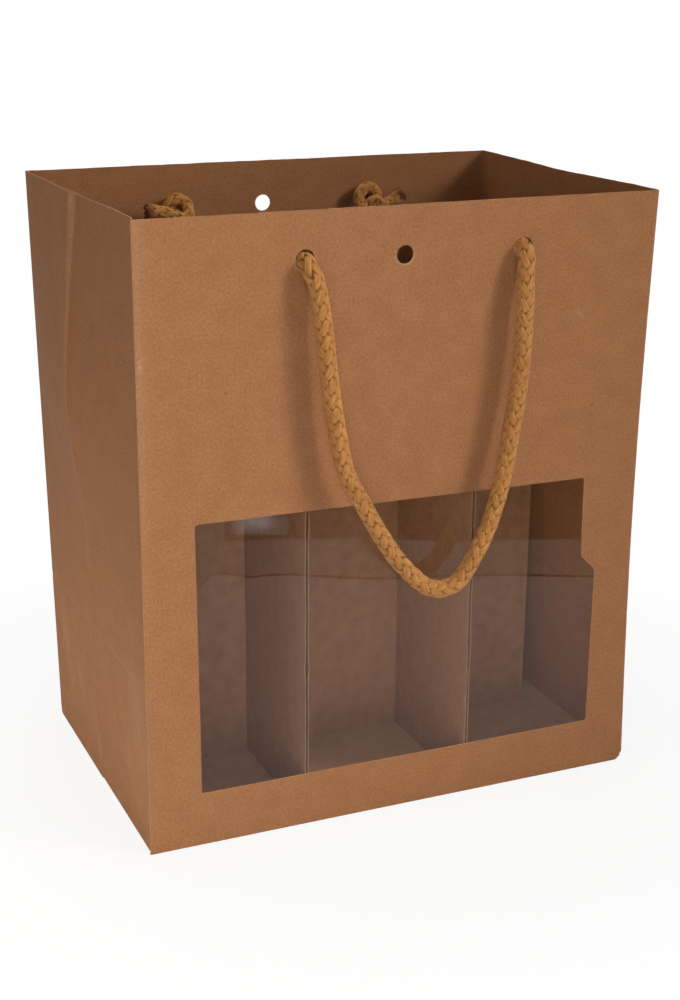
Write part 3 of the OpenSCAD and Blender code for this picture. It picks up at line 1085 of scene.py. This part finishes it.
@dataclass
class WindowFilm:
    """Clear film glued behind the window, a little loose and cockled near its left edge.

    Attributes:
        finish: its finish.
        x0, x1, z0, z1, front_y, thick: its edges, its front face and its thickness.
        cockle_z, cockle: height of the cockles' line, and their slope by X.
    """

    finish: ClearFilm
    x0: float = -97.4
    x1: float = 98.0
    z0: float = 15.0
    z1: float = 145.0
    front_y: float = -70.49
    thick: float = 0.2
    cockle_z: float = 114.0
    cockle: tuple[tuple[float, float], ...] = (
        (-97, 0.0), (-92, 0.010), (-88.7, 0.014), (-82.4, -0.0035), (-74, -0.001), (-66, 0.0035),
        (-60, 0.001), (-50, 0.0), (98, 0.0))

    def build(self) -> bpy.types.Object:
        """Makes the sheet: its depth is slope(x) times the height over cockle_z, fading away from there.

        Returns:
            The film's piece.
        """
        x = np.linspace(self.x0, self.x1, 140)
        z = np.linspace(self.z0, self.z1, 92)
        gx, gz = np.meshgrid(x, z, indexing="ij")
        over = gz - self.cockle_z
        slope = through(gx, self.cockle, 2.0)
        y = self.front_y + slope * over * np.exp(-(over / 22) ** 2)
        inner = (ease((gx - self.x0) / 14) * ease((self.x1 - gx) / 14)
                 * ease((gz - self.z0 - 5) / 14) * ease((self.z1 - 5 - gz) / 14))
        y = y + 0.035 * waves(gx, gz, 60, SEED + 20) * inner
        front = np.stack([gx, y, gz], axis=-1)
        back = np.stack([gx, y + self.thick, gz], axis=-1)
        points, faces = closed_slab(front, back)
        film = make_piece("window_sheet", points, faces, [self.finish.material()], sharp=40)
        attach(film, "bag")
        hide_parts("window_film")
        return film


# The divider

class Board(Enum):
    """The divider's three boards: node, whether it runs along X, and where it stands across."""

    LONG = ("divider_long", True, 0.0)
    CROSS_LEFT = ("divider_cross_left", False, -42.4)
    CROSS_RIGHT = ("divider_cross_right", False, 30.9)


@dataclass
class EggCrateDivider:
    """Three slotted boards of E-flute: two liners with a sine-shaped fluting paper between them.

    Attributes:
        liner, raw: finishes of the liners and of the raw edges.
        thick, liner_t, flute_t, glue: thickness of the board and of its papers, and the glue's gap.
        pitch: length of one flute.
        low, high: the boards' lower and upper edge.
        slot_half, mid, play: half a slot's width, the height at which slots meet, and their play.
        long_x, cross_y: ends of the long board and of the cross boards.
        nick_z: height of the nick in a cross board's free end.
    """

    liner: LinerBoard
    raw: RawEdge
    thick: float = 1.6
    liner_t: float = 0.28
    flute_t: float = 0.18
    glue: float = 0.1
    pitch: float = 3.3
    low: float = 2.3
    high: float = 142.3
    slot_half: float = 1.0
    mid: float = 72.3
    play: float = 0.2
    long_x: tuple[float, float] = (-109.2, 97.7)
    cross_y: tuple[float, float] = (-70.0, 70.2)
    nick_z: float = 69.5

    def spans(self, board: Board) -> list[tuple[float, float, float, float]]:
        """Rectangles that make up a slotted board.

        Args:
            board: which of the boards.

        Returns:
            Start, end, lower and upper height of each.
        """
        if board is Board.LONG:
            out, at = [], self.long_x[0]
            for cross in (Board.CROSS_LEFT, Board.CROSS_RIGHT):
                slot = (cross.value[2] - self.slot_half, cross.value[2] + self.slot_half)
                out += [(at, slot[0], self.low, self.high), (*slot, self.low, self.mid - self.play)]
                at = slot[1]
            return [*out, (at, self.long_x[1], self.low, self.high)]
        return [(self.cross_y[0], -self.slot_half, self.low, self.high),
                (-self.slot_half, self.slot_half, self.mid + self.play, self.high),
                (self.slot_half, self.cross_y[1], self.low, self.high)]

    def sheets(self, board: Board, number: int) -> tuple[np.ndarray, np.ndarray, np.ndarray]:
        """Liners and fluting of one board.

        A liner is a flat slab on each side.  At a cross board's free front end the liners wobble by
        a tenth of a millimetre with height and stand apart at a small nick.  The fluting is a slab
        along a sine with the flute's pitch, straight in height.

        Args:
            board: which of the boards.
            number: the board's number, for its own random draw.

        Returns:
            Places in board axes (along, across, up), quads, and the raw-edge number of each quad.
        """
        parts, raw = [], []
        half = self.thick / 2
        for a, b, z0, z1 in self.spans(board):
            free_start = board is not Board.LONG and a == self.cross_y[0]
            for side in (-1, 1):
                u = np.linspace(a, b, max(2, int((b - a) / 4) + 1))
                z = np.linspace(z0, z1, max(2, int((z1 - z0) / 2.0) + 1))
                gu, gz = np.meshgrid(u, z, indexing="ij")
                wobble = waves(gz, gz * 0 + side * 40, 26, SEED + 30 + number) * 0.16
                nick = hill(gz - self.nick_z, 2.2)
                end = ease(1 - (gu - a) / 9)
                across = (half - self.liner_t) * side + wobble * end * free_start
                across = across + side * 0.42 * nick * ease(1 - (gu - a) / 2.5) * free_start
                gu = gu - free_start * (gu == a) * (0.12 * waves(gz, gz * 0, 7, SEED + 41) + 0.14 * nick)
                near = np.stack([gu, across, gz], axis=-1)
                far = np.stack([gu, across + self.liner_t * side, gz], axis=-1)
                parts.append(closed_slab(far[::-side], near[::-side]))
                flat = 2 * (len(u) - 1) * (len(z) - 1)
                raw.append(np.arange(len(parts[-1][1])) >= flat)
            count = max(3, int((b - a) / self.pitch * 12))
            u = np.linspace(a + 2.6 * free_start, b, count)
            z = np.array([z0 + 0.05, z1 - 0.05])
            gu, gz = np.meshgrid(u, z, indexing="ij")
            wave = (half - self.liner_t - self.glue) * np.sin(2 * math.pi * gu / self.pitch)
            near = np.stack([gu, wave - self.flute_t / 2, gz], axis=-1)
            far = np.stack([gu, wave + self.flute_t / 2, gz], axis=-1)
            parts.append(closed_slab(near, far))
            raw.append(np.ones(len(parts[-1][1]), bool))
        return *joined(parts), np.concatenate(raw)

    def build(self) -> list[bpy.types.Object]:
        """Builds the three boards on their places.

        Returns:
            The divider's pieces.
        """
        liner, raw = self.liner.material(), self.raw.material()
        pieces = []
        for number, board in enumerate(Board):
            node, along_x, at = board.value
            points, faces, which = self.sheets(board, number)
            if along_x:
                place = points + np.array([0, at, 0])
            else:
                place = np.stack([at - points[:, 1], points[:, 0], points[:, 2]], axis=-1)
            piece = make_piece(f"{node}_board", place, faces, [liner, raw], which, sharp=35)
            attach(piece, "bag")
            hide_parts(node)
            pieces.append(piece)
        return pieces


# The handles

class Face(Enum):
    """The two faces that carry a handle, with the sign of their Y."""

    FRONT = -1
    BACK = 1


# ROUTE runs from hole to hole: X from their middle, distance out from the swing's line, and Z from it.
# THROUGH runs through the board: X inwards from a hole, Y and Z.  KNOTS run on from a hole inside:
# X from it, distance in from the board, and Z.  HOLE_REACH is a hole's distance from their middle,
# and BOARD_Y that of the board's inner face from the bag's middle.
ROUTE = (
    (-46.2, 0, 0), (-44.3, 1.5, -6.5), (-42.7, 3, -16.6), (-41.1, 3.5, -29.3), (-39.7, 4, -42.1),
    (-38, 4.5, -55.2), (-35.9, 5, -68), (-32.9, 5.5, -80.9), (-26.4, 6, -93.6), (-18.1, 7, -108.8),
    (-7.9, 7, -123), (3.8, 7, -133.2), (15, 7, -132.6), (23.2, 7, -122), (29.8, 6.5, -109),
    (34.3, 6, -95), (36.9, 5.5, -83.5), (39.3, 5, -70), (41.2, 4.6, -58), (42.8, 4.1, -44),
    (43.5, 3.6, -31), (43.9, 3, -19), (44.3, 1.6, -8.5), (45.2, 0, 0))
HOLE_REACH = 46.0
BOARD_Y = 70.5
THROUGH = ((0.3, 69.4, 0.2), (0.0, 71.8, -0.3), (0.1, 74.3, -1.5), (0.6, 76.0, -3.9))
KNOTS = {
    -1: ((0, 1.2, -0.4), (-1.6, 2.2, -1), (-4.2, 3.4, -0.6), (-4.5, 4.2, 2.2), (-1.3, 4.9, 4.5),
         (2.0, 5.6, 2.9), (3.0, 7.2, 0.4), (2.4, 8.8, -2.4), (-0.4, 9.4, -3.6), (-4.0, 9.4, -2.0),
         (-7.6, 9.0, -0.7), (-12.0, 8.4, 0.1), (-16.4, 7.8, 0.4)),
    1: ((0, 1.2, -0.4), (1.8, 2.2, -1), (3.5, 3.4, -0.4), (2.6, 4.2, 3.0), (-1.7, 4.8, 5.2), (-5.5, 5.4, 2.8),
        (-6.0, 6.2, -0.8), (-4.2, 7.6, -3.6), (-1.6, 9.0, -1.6), (0.2, 9.6, 0.3), (2.2, 9.4, -1.8),
        (5.4, 8.8, -2.3), (9.8, 8.2, -0.7), (14.2, 7.6, 1.7)),
}


def smooth_line(points: np.ndarray, step: float) -> np.ndarray:
    """Points at equal distances along a smooth curve through the given ones.

    The curve is a Catmull-Rom spline: between two points it is the cubic whose slope at each of
    them is half the difference of that point's neighbours.

    Args:
        points: n x 3 places.
        step: usual distance of the result's points.

    Returns:
        m x 3 places.
    """
    p = np.concatenate([[2 * points[0] - points[1]], points, [2 * points[-1] - points[-2]]])
    t = np.linspace(0, 1, 24, endpoint=False)[None, :, None]
    a, b, c, d = (p[i:len(p) - 3 + i, None, :] for i in range(4))
    curve = 0.5 * (2 * b + (c - a) * t + (2 * a - 5 * b + 4 * c - d) * t ** 2
                   + (3 * b - a - 3 * c + d) * t ** 3)
    curve = np.concatenate([curve.reshape(-1, 3), points[-1:]])
    along = np.concatenate([[0], np.cumsum(np.linalg.norm(np.diff(curve, axis=0), axis=1))])
    at = np.linspace(0, along[-1], max(3, round(along[-1] / step) + 1))
    return np.stack([np.interp(at, along, curve[:, k]) for k in range(3)], axis=-1)


def carried_frames(line: np.ndarray) -> tuple[np.ndarray, np.ndarray, np.ndarray]:
    """Directions that follow a line without turning about it.

    Each pair of cross directions is the last one with what points along the line taken out.

    Args:
        line: n x 3 places.

    Returns:
        The way along the line and two directions across it, each n x 3.
    """
    way = unit(np.gradient(line, axis=0))
    across = np.zeros_like(way)
    current = np.array([1.0, 0, 0]) if abs(way[0][0]) < 0.8 else np.array([0, 0, 1.0])
    for i, t in enumerate(way):
        current = unit(current - t * (current @ t))
        across[i] = current
    return way, across, np.cross(way, across)


@dataclass(frozen=True)
class Braid:
    """Round plait of twelve strands, six to each hand, each over two and under two of the others.

    Strand k runs round the middle line at an even rate.  Its distance from the line is the mean plus
    tanh(2.2 cos 3a) with its sign by hand, where a is its angle: so the plait shows six columns of
    long floats that lean to and fro, as a herringbone.  A plain core fills the middle.

    Attributes:
        radius, lay: outer radius of the rope, and length of one turn of a strand.
        strands, width, height: number of strands, and size of one.
        swing: how far a strand moves in and out.
        core: radius of the core.
        sides, step: corners of a strand's section, and distance of the sections.
    """

    radius: float = 3.6
    lay: float = 34.0
    strands: int = 12
    width: float = 2.8
    height: float = 1.35
    swing: float = 0.6
    core: float = 2.6
    sides: int = 10
    step: float = 0.55

    def mesh(self, line: np.ndarray, squeeze: float = 1.0, seed: int = 0, singe: float = 0.0
             ) -> tuple[np.ndarray, np.ndarray, np.ndarray, dict[str, np.ndarray]]:
        """Lays the braid along a line.

        A strand's section is a flattened oval, (cos p |cos p|^-0.3, sin p |sin p|^-0.3), bent round
        the middle line by the square of its width over twice its distance.

        Args:
            line: n x 3 places at even distances.
            squeeze: scale of the braid's cross-section.
            seed: number that fixes the small unevenness.
            singe: length of the burnt, flared end in millimetres, or 0.

        Returns:
            Places, quads, UV coordinates in metres, and the depth (painted shade, 0 inside to 1 outside) and
            burn.
        """
        way, a, b = carried_frames(line)
        along = np.concatenate([[0], np.cumsum(np.linalg.norm(np.diff(line, axis=0), axis=1))])
        burnt = ease((along - along[-1] + singe) / max(singe, 0.1)) * (singe > 0)
        scale = squeeze * (1 + 0.16 * burnt + 0.12 * ease((along - along[-1] + 2) / 2) * (singe > 0))
        mean = self.radius - self.swing - self.height / 2
        rate = 2 * math.pi / self.lay
        m = len(line)
        parts, uvs, gap_shades, burns = [], [], [], []
        phi = np.linspace(0, 2 * math.pi, self.sides, endpoint=False)
        cos_p = np.sign(np.cos(phi)) * np.abs(np.cos(phi)) ** 0.7
        sin_p = np.sign(np.sin(phi)) * np.abs(np.sin(phi)) ** 0.7
        number = np.arange(m * self.sides).reshape(m, self.sides)
        nxt = np.roll(number, -1, axis=1)
        walls = np.stack([number[:-1], nxt[:-1], nxt[1:], number[1:]], axis=-1).reshape(-1, 4)
        caps = []
        for j in range(0, self.sides, 2):
            k = (j + 2) % self.sides
            caps.append([number[0, k], number[0, j + 1], number[0, j], m * self.sides])
            caps.append([number[-1, j], number[-1, j + 1], number[-1, k], m * self.sides + 1])
        quads = np.concatenate([walls, np.array(caps)])
        for k in range(self.strands + 1):
            inner = k == self.strands
            hand = 1 if k % 2 == 0 else -1
            place = k // 2 + (0.5 if hand < 0 else 0.0)
            turn = hand * rate * along + 4 * math.pi / self.strands * place
            beat = np.cos(self.strands / 4 * turn)
            over = hand * np.tanh(2.2 * beat) / math.tanh(2.2)
            jitter = waves(along, along * 0, 9, SEED + 60 + 17 * seed + k)
            r = (0.0 if inner else 1.0) * (mean + self.swing * over + 0.08 * jitter) * scale
            radial = np.cos(turn)[:, None] * a + np.sin(turn)[:, None] * b
            tangent = -np.sin(turn)[:, None] * a + np.cos(turn)[:, None] * b
            centre = line + radial * r[:, None]
            run = unit(way + hand * rate * r[:, None] * tangent)
            wide = unit(np.cross(run, radial))
            bulge = 0.10 * over + 0.10 * np.abs(beat) - 0.04 + 0.07 * jitter
            half_w = (self.core if inner else self.width / 2 * (1 + bulge)) * scale
            half_h = (self.core if inner else self.height / 2) * scale
            reach = half_w[:, None] * (np.cos(phi) if inner else cos_p)[None, :]
            lift = half_h[:, None] * (np.sin(phi) if inner else sin_p)[None, :]
            if not inner:
                lift = lift - 0.75 * reach ** 2 / (2 * self.radius * squeeze)
            ring = centre[:, None, :] + reach[:, :, None] * wide[:, None, :]
            ring = ring + lift[:, :, None] * radial[:, None, :]
            parts.append((np.concatenate([ring.reshape(-1, 3), centre[:1], centre[-1:]]), quads))
            u = np.repeat(along / math.cos(math.atan(rate * mean)), self.sides) + 17.0 * k
            v = (reach + np.sign(lift) * 0.4).ravel() + 7.1 * k
            uvs.append(np.concatenate([np.column_stack([u, v]), [[0, 0], [0, 0]]]) * MM)
            # Painted shade between strands: dark near the middle line, light on the strands' crowns; the core
            # and the end caps stay dark.
            far = np.linalg.norm(ring - line[:, None, :], axis=2) / (self.radius * scale[:, None])
            shade = np.full(ring.shape[:2], 0.4) if inner else ease((far - 0.70) / 0.24)
            gap_shades.append(np.concatenate([shade.ravel(), [0.2, 0.2]]))
            burns.append(np.concatenate([np.repeat(burnt, self.sides), [0.0, 1.0 * (singe > 0)]]))
        return (*joined(parts), np.concatenate(uvs),
                {"depth": np.concatenate(gap_shades), "burn": np.concatenate(burns)})


@dataclass
class RopeHandle:
    """One handle: the hanging loop of braided rope and the stopper knot at each of its ends.

    Attributes:
        face: the face of the bag that carries it.
        yarn, braid: its finish and its plait.
        middle_x, shift: middle of the front's holes, and shift of the back's to the left.
        pivot, hole_z: distance of the loop's swing from the middle of the bag, and its height.
        knot_squeeze, singe: size of the rope in a knot, and length of its burnt end.
    """

    face: Face
    yarn: bpy.types.Material
    braid: Braid = field(default_factory=Braid)
    middle_x: float = 2.5
    shift: float = 4.163
    pivot: float = 74.9
    hole_z: float = 235.0
    knot_squeeze: float = 0.79
    singe: float = 6.5

    def route(self) -> np.ndarray:
        """Middle line of the loop, from inside one hole to inside the other.

        It repeats the source's route, with its two ends led through the board along Y.

        Returns:
            n x 3 places in millimetres at even distances.
        """
        p = np.array(ROUTE, float)
        sign = self.face.value
        hang = np.stack([
            self.middle_x + p[:, 0] if sign < 0 else self.middle_x - self.shift - p[:, 0],
            sign * (self.pivot + p[:, 1]), self.hole_z + p[:, 2]], axis=-1)
        inner = [np.array([[end + dx * turn, sign * y, self.hole_z + dz] for dx, y, dz in THROUGH])
                 for end, turn in ((hang[0, 0], 1), (hang[-1, 0], -1))]
        whole = np.concatenate([inner[0], hang[1:-1], inner[1][::-1]])
        return smooth_line(whole, self.braid.step)

    def build(self) -> list[bpy.types.Object]:
        """Returns:
            The handle's pieces.
        """
        side = self.face.name.lower()
        line = self.route()
        points, faces, uv, values = self.braid.mesh(line, seed=self.face.value + 2)
        rope = make_piece(f"{side}_rope", points, faces, [self.yarn], uv=uv, values=values, sharp=60)
        knots = [self.knot(hand) for hand in (-1, 1)]
        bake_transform(rope)
        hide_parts(f"{side}_handle_rope")
        return [rope, *knots]

    def knot(self, hand: int) -> bpy.types.Object:
        """Overhand stopper knot behind one hole, with a singed loose end.

        Args:
            hand: -1 for the left knot, 1 for the right.

        Returns:
            The knot's piece.
        """
        sign = self.face.value
        side, end = self.face.name.lower(), "left" if hand < 0 else "right"
        x = (self.middle_x if sign < 0 else self.middle_x - self.shift) + hand * HOLE_REACH
        local = np.array(KNOTS[hand], float)
        place = np.stack([x + local[:, 0], sign * (BOARD_Y - local[:, 1]), self.hole_z + local[:, 2]],
                         axis=-1)
        line = smooth_line(place, self.braid.step)
        points, faces, uv, values = self.braid.mesh(line, self.knot_squeeze, 3 + hand, self.singe)
        piece = make_piece(f"{side}_knot_{end}", points, faces, [self.yarn], uv=uv, values=values, sharp=60)
        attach(piece, "bag")
        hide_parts(f"{side}_handle_knot_{end}")
        return piece


# The studio

# The table's edge in plan, in millimetres: a point of it, its direction, and the way outwards; the
# end of the near floor; the edge's thickness; where the room starts; and the cards' height.
EDGE_PLACE = (63.7, -331.4)
EDGE_WAY = (0.9275, 0.3738)
EDGE_OUT = (0.3738, -0.9275)
FLAG_Y = -78.0
EDGE_WIDTH = 3.4
ROOM_START = 62.7
CARD_Z = 0.4
LAMP_WHITE = "#fffaf4"


@dataclass(frozen=True)
class SoftBox:
    """A lamp that isn't seen itself; places and sizes are in metres, the power is in watts.

    Its spread is the angle of its beam in degrees, as a honeycomb grid narrows it.
    """

    name: str
    place: tuple[float, float, float]
    aim: tuple[float, float, float]
    size: tuple[float, float]
    power: float
    spread: float = 180.0

    def build(self) -> None:
        """Puts the lamp at its place, turned to its aim."""
        data = bpy.data.lights.new(self.name, "AREA")
        data.shape = "RECTANGLE"
        data.size, data.size_y = self.size
        data.energy = self.power
        data.color = linear(LAMP_WHITE)[:3]
        data.spread = math.radians(self.spread)
        lamp = bpy.data.objects.new(self.name, data)
        lamp.location = self.place
        lamp.rotation_euler = (Vector(self.place) - Vector(self.aim)).to_track_quat("Z", "Y").to_euler()
        lamp.visible_camera = False
        lamp.visible_glossy = False
        bpy.context.scene.collection.objects.link(lamp)


@dataclass
class Studio:
    """Camera, lamps, pale floor, and the flags that the window film mirrors.

    Attributes:
        place, elevation, azimuth, roll: the camera's measured place and angles.
        focal_px, sensor_mm: focal length in pixels of the picture, and the sensor's width.
        fill, gloss: strength of the room's light for diffuse and for glossy rays.
        floor_half, floor_z: half the floor's width and its height, in metres.
        lamps: the lamps.
    """

    place: tuple[float, float, float] = (-277.95, -644.53, 349.08)
    elevation: float = 18.486
    azimuth: float = -23.467
    roll: float = -0.490
    focal_px: float = 1683.27
    sensor_mm: float = 36.0
    fill: float = 0.05
    gloss: float = 0.35
    floor_half: float = 6.0
    floor_z: float = -0.0003
    lamps: tuple[SoftBox, ...] = (
        SoftBox("key", (0.90, -1.00, 0.95), (-0.32, -0.07, 0.10), (0.5, 0.5), 1.18, 40),
        SoftBox("front_fill", (-0.25, -0.68, 0.20), (-0.04, 0.0, 0.12), (0.4, 0.4), 1.52),
        SoftBox("table_bounce", (-0.26, -0.01, 0.012), (-0.11, -0.01, 0.03), (0.34, 0.03), 0.15),
        SoftBox("top", (-0.48, 0.1, 1.6), (0.0, 0.0, 0.13), (1.2, 1.2), 9.0),
        SoftBox("back_fill", (0.35, 1.3, 0.2), (0.0, 0.0, 0.12), (1.0, 0.3), 11.0))

    def camera(self) -> None:
        """Sets the camera from its measured place and angles."""
        el, az, roll = (math.radians(v) for v in (self.elevation, self.azimuth, self.roll))
        back = np.array([math.sin(az) * math.cos(el), -math.cos(az) * math.cos(el), math.sin(el)])
        right = np.array([math.cos(az), math.sin(az), 0.0])
        up = np.cross(back, right)
        turned = math.cos(roll) * right - math.sin(roll) * up
        upright = math.sin(roll) * right + math.cos(roll) * up
        data = bpy.data.cameras.new("camera")
        data.sensor_fit = "AUTO"
        data.sensor_width = self.sensor_mm
        data.lens = self.focal_px * self.sensor_mm / max(PICTURE)
        data.clip_start, data.clip_end = 0.01, 30.0
        camera = bpy.data.objects.new("camera", data)
        matrix = Matrix(np.column_stack([turned, upright, back])).to_4x4()
        matrix.translation = Vector([v * MM for v in self.place])
        camera.matrix_world = matrix
        bpy.context.scene.collection.objects.link(camera)
        bpy.context.scene.camera = camera

    def world(self) -> None:
        """Dim room for diffuse and glossy rays; the camera and clear rays see plain white."""
        world = bpy.data.worlds.new("studio")
        bpy.context.scene.world = world
        world.use_nodes = True
        tree = world.node_tree
        tree.nodes.clear()
        rays = put(tree, "ShaderNodeLightPath")
        seen = put(tree, "ShaderNodeMath", {
            0: rays.outputs["Is Camera Ray"], 1: rays.outputs["Is Transmission Ray"]}, operation="MAXIMUM")
        room = put(tree, "ShaderNodeMath", {0: rays.outputs["Is Glossy Ray"], 1: self.gloss - self.fill,
                                            2: self.fill}, operation="MULTIPLY_ADD")
        dim = put(tree, "ShaderNodeBackground", {"Color": linear("#fbf7f2"), "Strength": room.outputs[0]})
        white = put(tree, "ShaderNodeBackground", {"Color": (1, 1, 1, 1), "Strength": 1.0})
        mixed = put(tree, "ShaderNodeMixShader", {
            0: seen.outputs[0], 1: dim.outputs["Background"], 2: white.outputs["Background"]})
        output = put(tree, "ShaderNodeOutputWorld")
        tree.links.new(mixed.outputs["Shader"], output.inputs["Surface"])

    def floor_material(self) -> bpy.types.Material:
        """Pale matt floor: it keeps the shadow, and the camera sees it as plain white further out.

        The share of plain white rises with the distance from the middle of the base.

        Returns:
            The material.
        """
        material, tree, output = new_material("studio_floor")
        matt = put(tree, "ShaderNodeBsdfDiffuse", {"Color": linear("#eeedeb")})
        white = put(tree, "ShaderNodeEmission", {"Color": (1, 1, 1, 1), "Strength": 1.02})
        rays = put(tree, "ShaderNodeLightPath")
        place = put(tree, "ShaderNodeTexCoord").outputs["Object"]
        away = put(tree, "ShaderNodeVectorMath", {0: place}, operation="LENGTH").outputs["Value"]
        part = put(tree, "ShaderNodeMapRange", {
            "Value": away, "From Min": 0.12, "From Max": 0.34, "To Min": 0.86, "To Max": 1.0})
        share = put(tree, "ShaderNodeMath", {0: rays.outputs["Is Camera Ray"], 1: part.outputs["Result"]},
                    operation="MULTIPLY")
        mixed = put(tree, "ShaderNodeMixShader", {
            0: share.outputs[0], 1: matt.outputs["BSDF"], 2: white.outputs["Emission"]})
        tree.links.new(mixed.outputs["Shader"], output.inputs["Surface"])
        return material

    def card(self, name: str, along: np.ndarray, out: np.ndarray, glow: np.ndarray | float) -> None:
        """Lays a flat card on the floor, outside the view, that only the gloss of the film shows.

        Args:
            name: the card's name.
            along: a x b distances along the table's edge, rising with the row, in millimetres.
            out: a x b distances outwards from that edge, rising with the column, in millimetres.
            glow: its brightness at each place, where 1 is white.
        """
        material, tree, output = new_material(f"{name}_finish")
        shine = put(tree, "ShaderNodeAttribute", attribute_name="glow").outputs["Fac"]
        light = put(tree, "ShaderNodeEmission", {"Color": linear("#fbfbff"), "Strength": shine})
        tree.links.new(light.outputs["Emission"], output.inputs["Surface"])
        plan = (np.array(EDGE_PLACE) + along[..., None] * np.array(EDGE_WAY)
                + out[..., None] * np.array(EDGE_OUT))
        points = np.concatenate([plan, np.full(along.shape + (1,), CARD_Z)], axis=-1).reshape(-1, 3)
        number = np.arange(along.size).reshape(along.shape)
        quads = np.stack([number[:-1, :-1], number[:-1, 1:], number[1:, 1:], number[1:, :-1]],
                         axis=-1).reshape(-1, 4)
        values = {"glow": np.broadcast_to(glow, along.shape).ravel()}
        card = make_piece(name, points, quads, [material], values=values, sharp=None)
        card.visible_camera = card.visible_diffuse = card.visible_shadow = False

    def flags(self) -> None:
        """Floor, dark table edge, dimmer floor, dark room and a soft box, as the film mirrors them.

        The near floor ends on a line parallel to the bag's front.  The room is dark but for its left
        part, and the soft box in it is a rounded strip whose brightness falls off on a bell curve.
        """
        ends = np.array([-400.0, 600.0])
        along = np.repeat(ends[:, None], 2, axis=1)
        start = (FLAG_Y - EDGE_PLACE[1] - EDGE_WAY[1] * ends) / EDGE_OUT[1]
        near = np.stack([start, np.zeros(2)], axis=1)
        self.card("floor_before_edge", along, near, 0.54)
        self.card("table_edge", along, np.array([[0.0, EDGE_WIDTH]] * 2), 0.0)
        self.card("floor_past_edge", along, np.array([[EDGE_WIDTH, ROOM_START]] * 2), 0.37)
        ga, go = np.meshgrid(
            np.concatenate([[-1200, -500, -120], np.arange(-70, 20, 1.5), [60, 300, 1500]]),
            np.concatenate([np.arange(ROOM_START, 150, 2.0), [180, 400, 1500]]), indexing="ij")
        left_end, strip_end, strip_mid, strip_half = -46.0, -33.0, 90.5, 18.5
        glow = 0.02 + 0.36 * ease((left_end - ga) / 4)
        side = np.hypot(np.maximum(strip_end - ga, 0) * 1.7, go - strip_mid) - strip_half
        inside = ease(0.5 - np.maximum(side, np.where(ga > -14, 2.0 * (ga + 11), -9)) / 2)
        soft = 0.38 + 1.6 * hill(ga + 30, 8) * hill(go - 96, 14)
        self.card("room", ga, go, glow + inside * soft)

    def build(self) -> None:
        """Sets up camera, world, lamps, floor and flags."""
        self.camera()
        self.world()
        for lamp in self.lamps:
            lamp.build()
        mesh = bpy.data.meshes.new("floor")
        half = self.floor_half
        mesh.from_pydata([(x, y, self.floor_z) for x, y in (
            (-half, -half), (half, -half), (half, half), (-half, half))], [], [(0, 1, 2, 3)])
        mesh.materials.append(self.floor_material())
        floor = bpy.data.objects.new("floor", mesh)
        bpy.context.scene.collection.objects.link(floor)
        self.flags()
        bpy.context.scene.view_settings.view_transform = "Standard"


def dress_base_card(finish: LinerBoard) -> None:
    """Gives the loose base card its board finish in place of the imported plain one.

    Args:
        finish: the card's finish.
    """
    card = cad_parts["base_card"]
    material = finish.material()
    for slot in card.material_slots:
        slot.material = material
    LOG.info("base_card: dressed")


def main() -> None:
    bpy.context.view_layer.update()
    Studio().build()
    yarn = BraidedYarn().material()
    pieces = [piece for face in Face for piece in RopeHandle(face, yarn).build()]
    pieces.append(CarrierSheet(KraftBoard(), RawEdge("kraft_cut_edge", "#d3ab88", "#b48864")).build())
    pieces.append(WindowFilm(ClearFilm()).build())
    liner = LinerBoard("fluted_board", "#9d7253", "#a97e5f", "#8f6548", flute_mm=3.3, flute_axis=1)
    pieces += EggCrateDivider(liner, RawEdge("fluted_cut_edge", "#b0927a", "#7f614b")).build()
    dress_base_card(LinerBoard("base_card", "#9c7657", "#a88364", "#8e694c"))
    LOG.info("%d pieces built and one dressed", len(pieces))


if __name__ == "__main__":
    main()
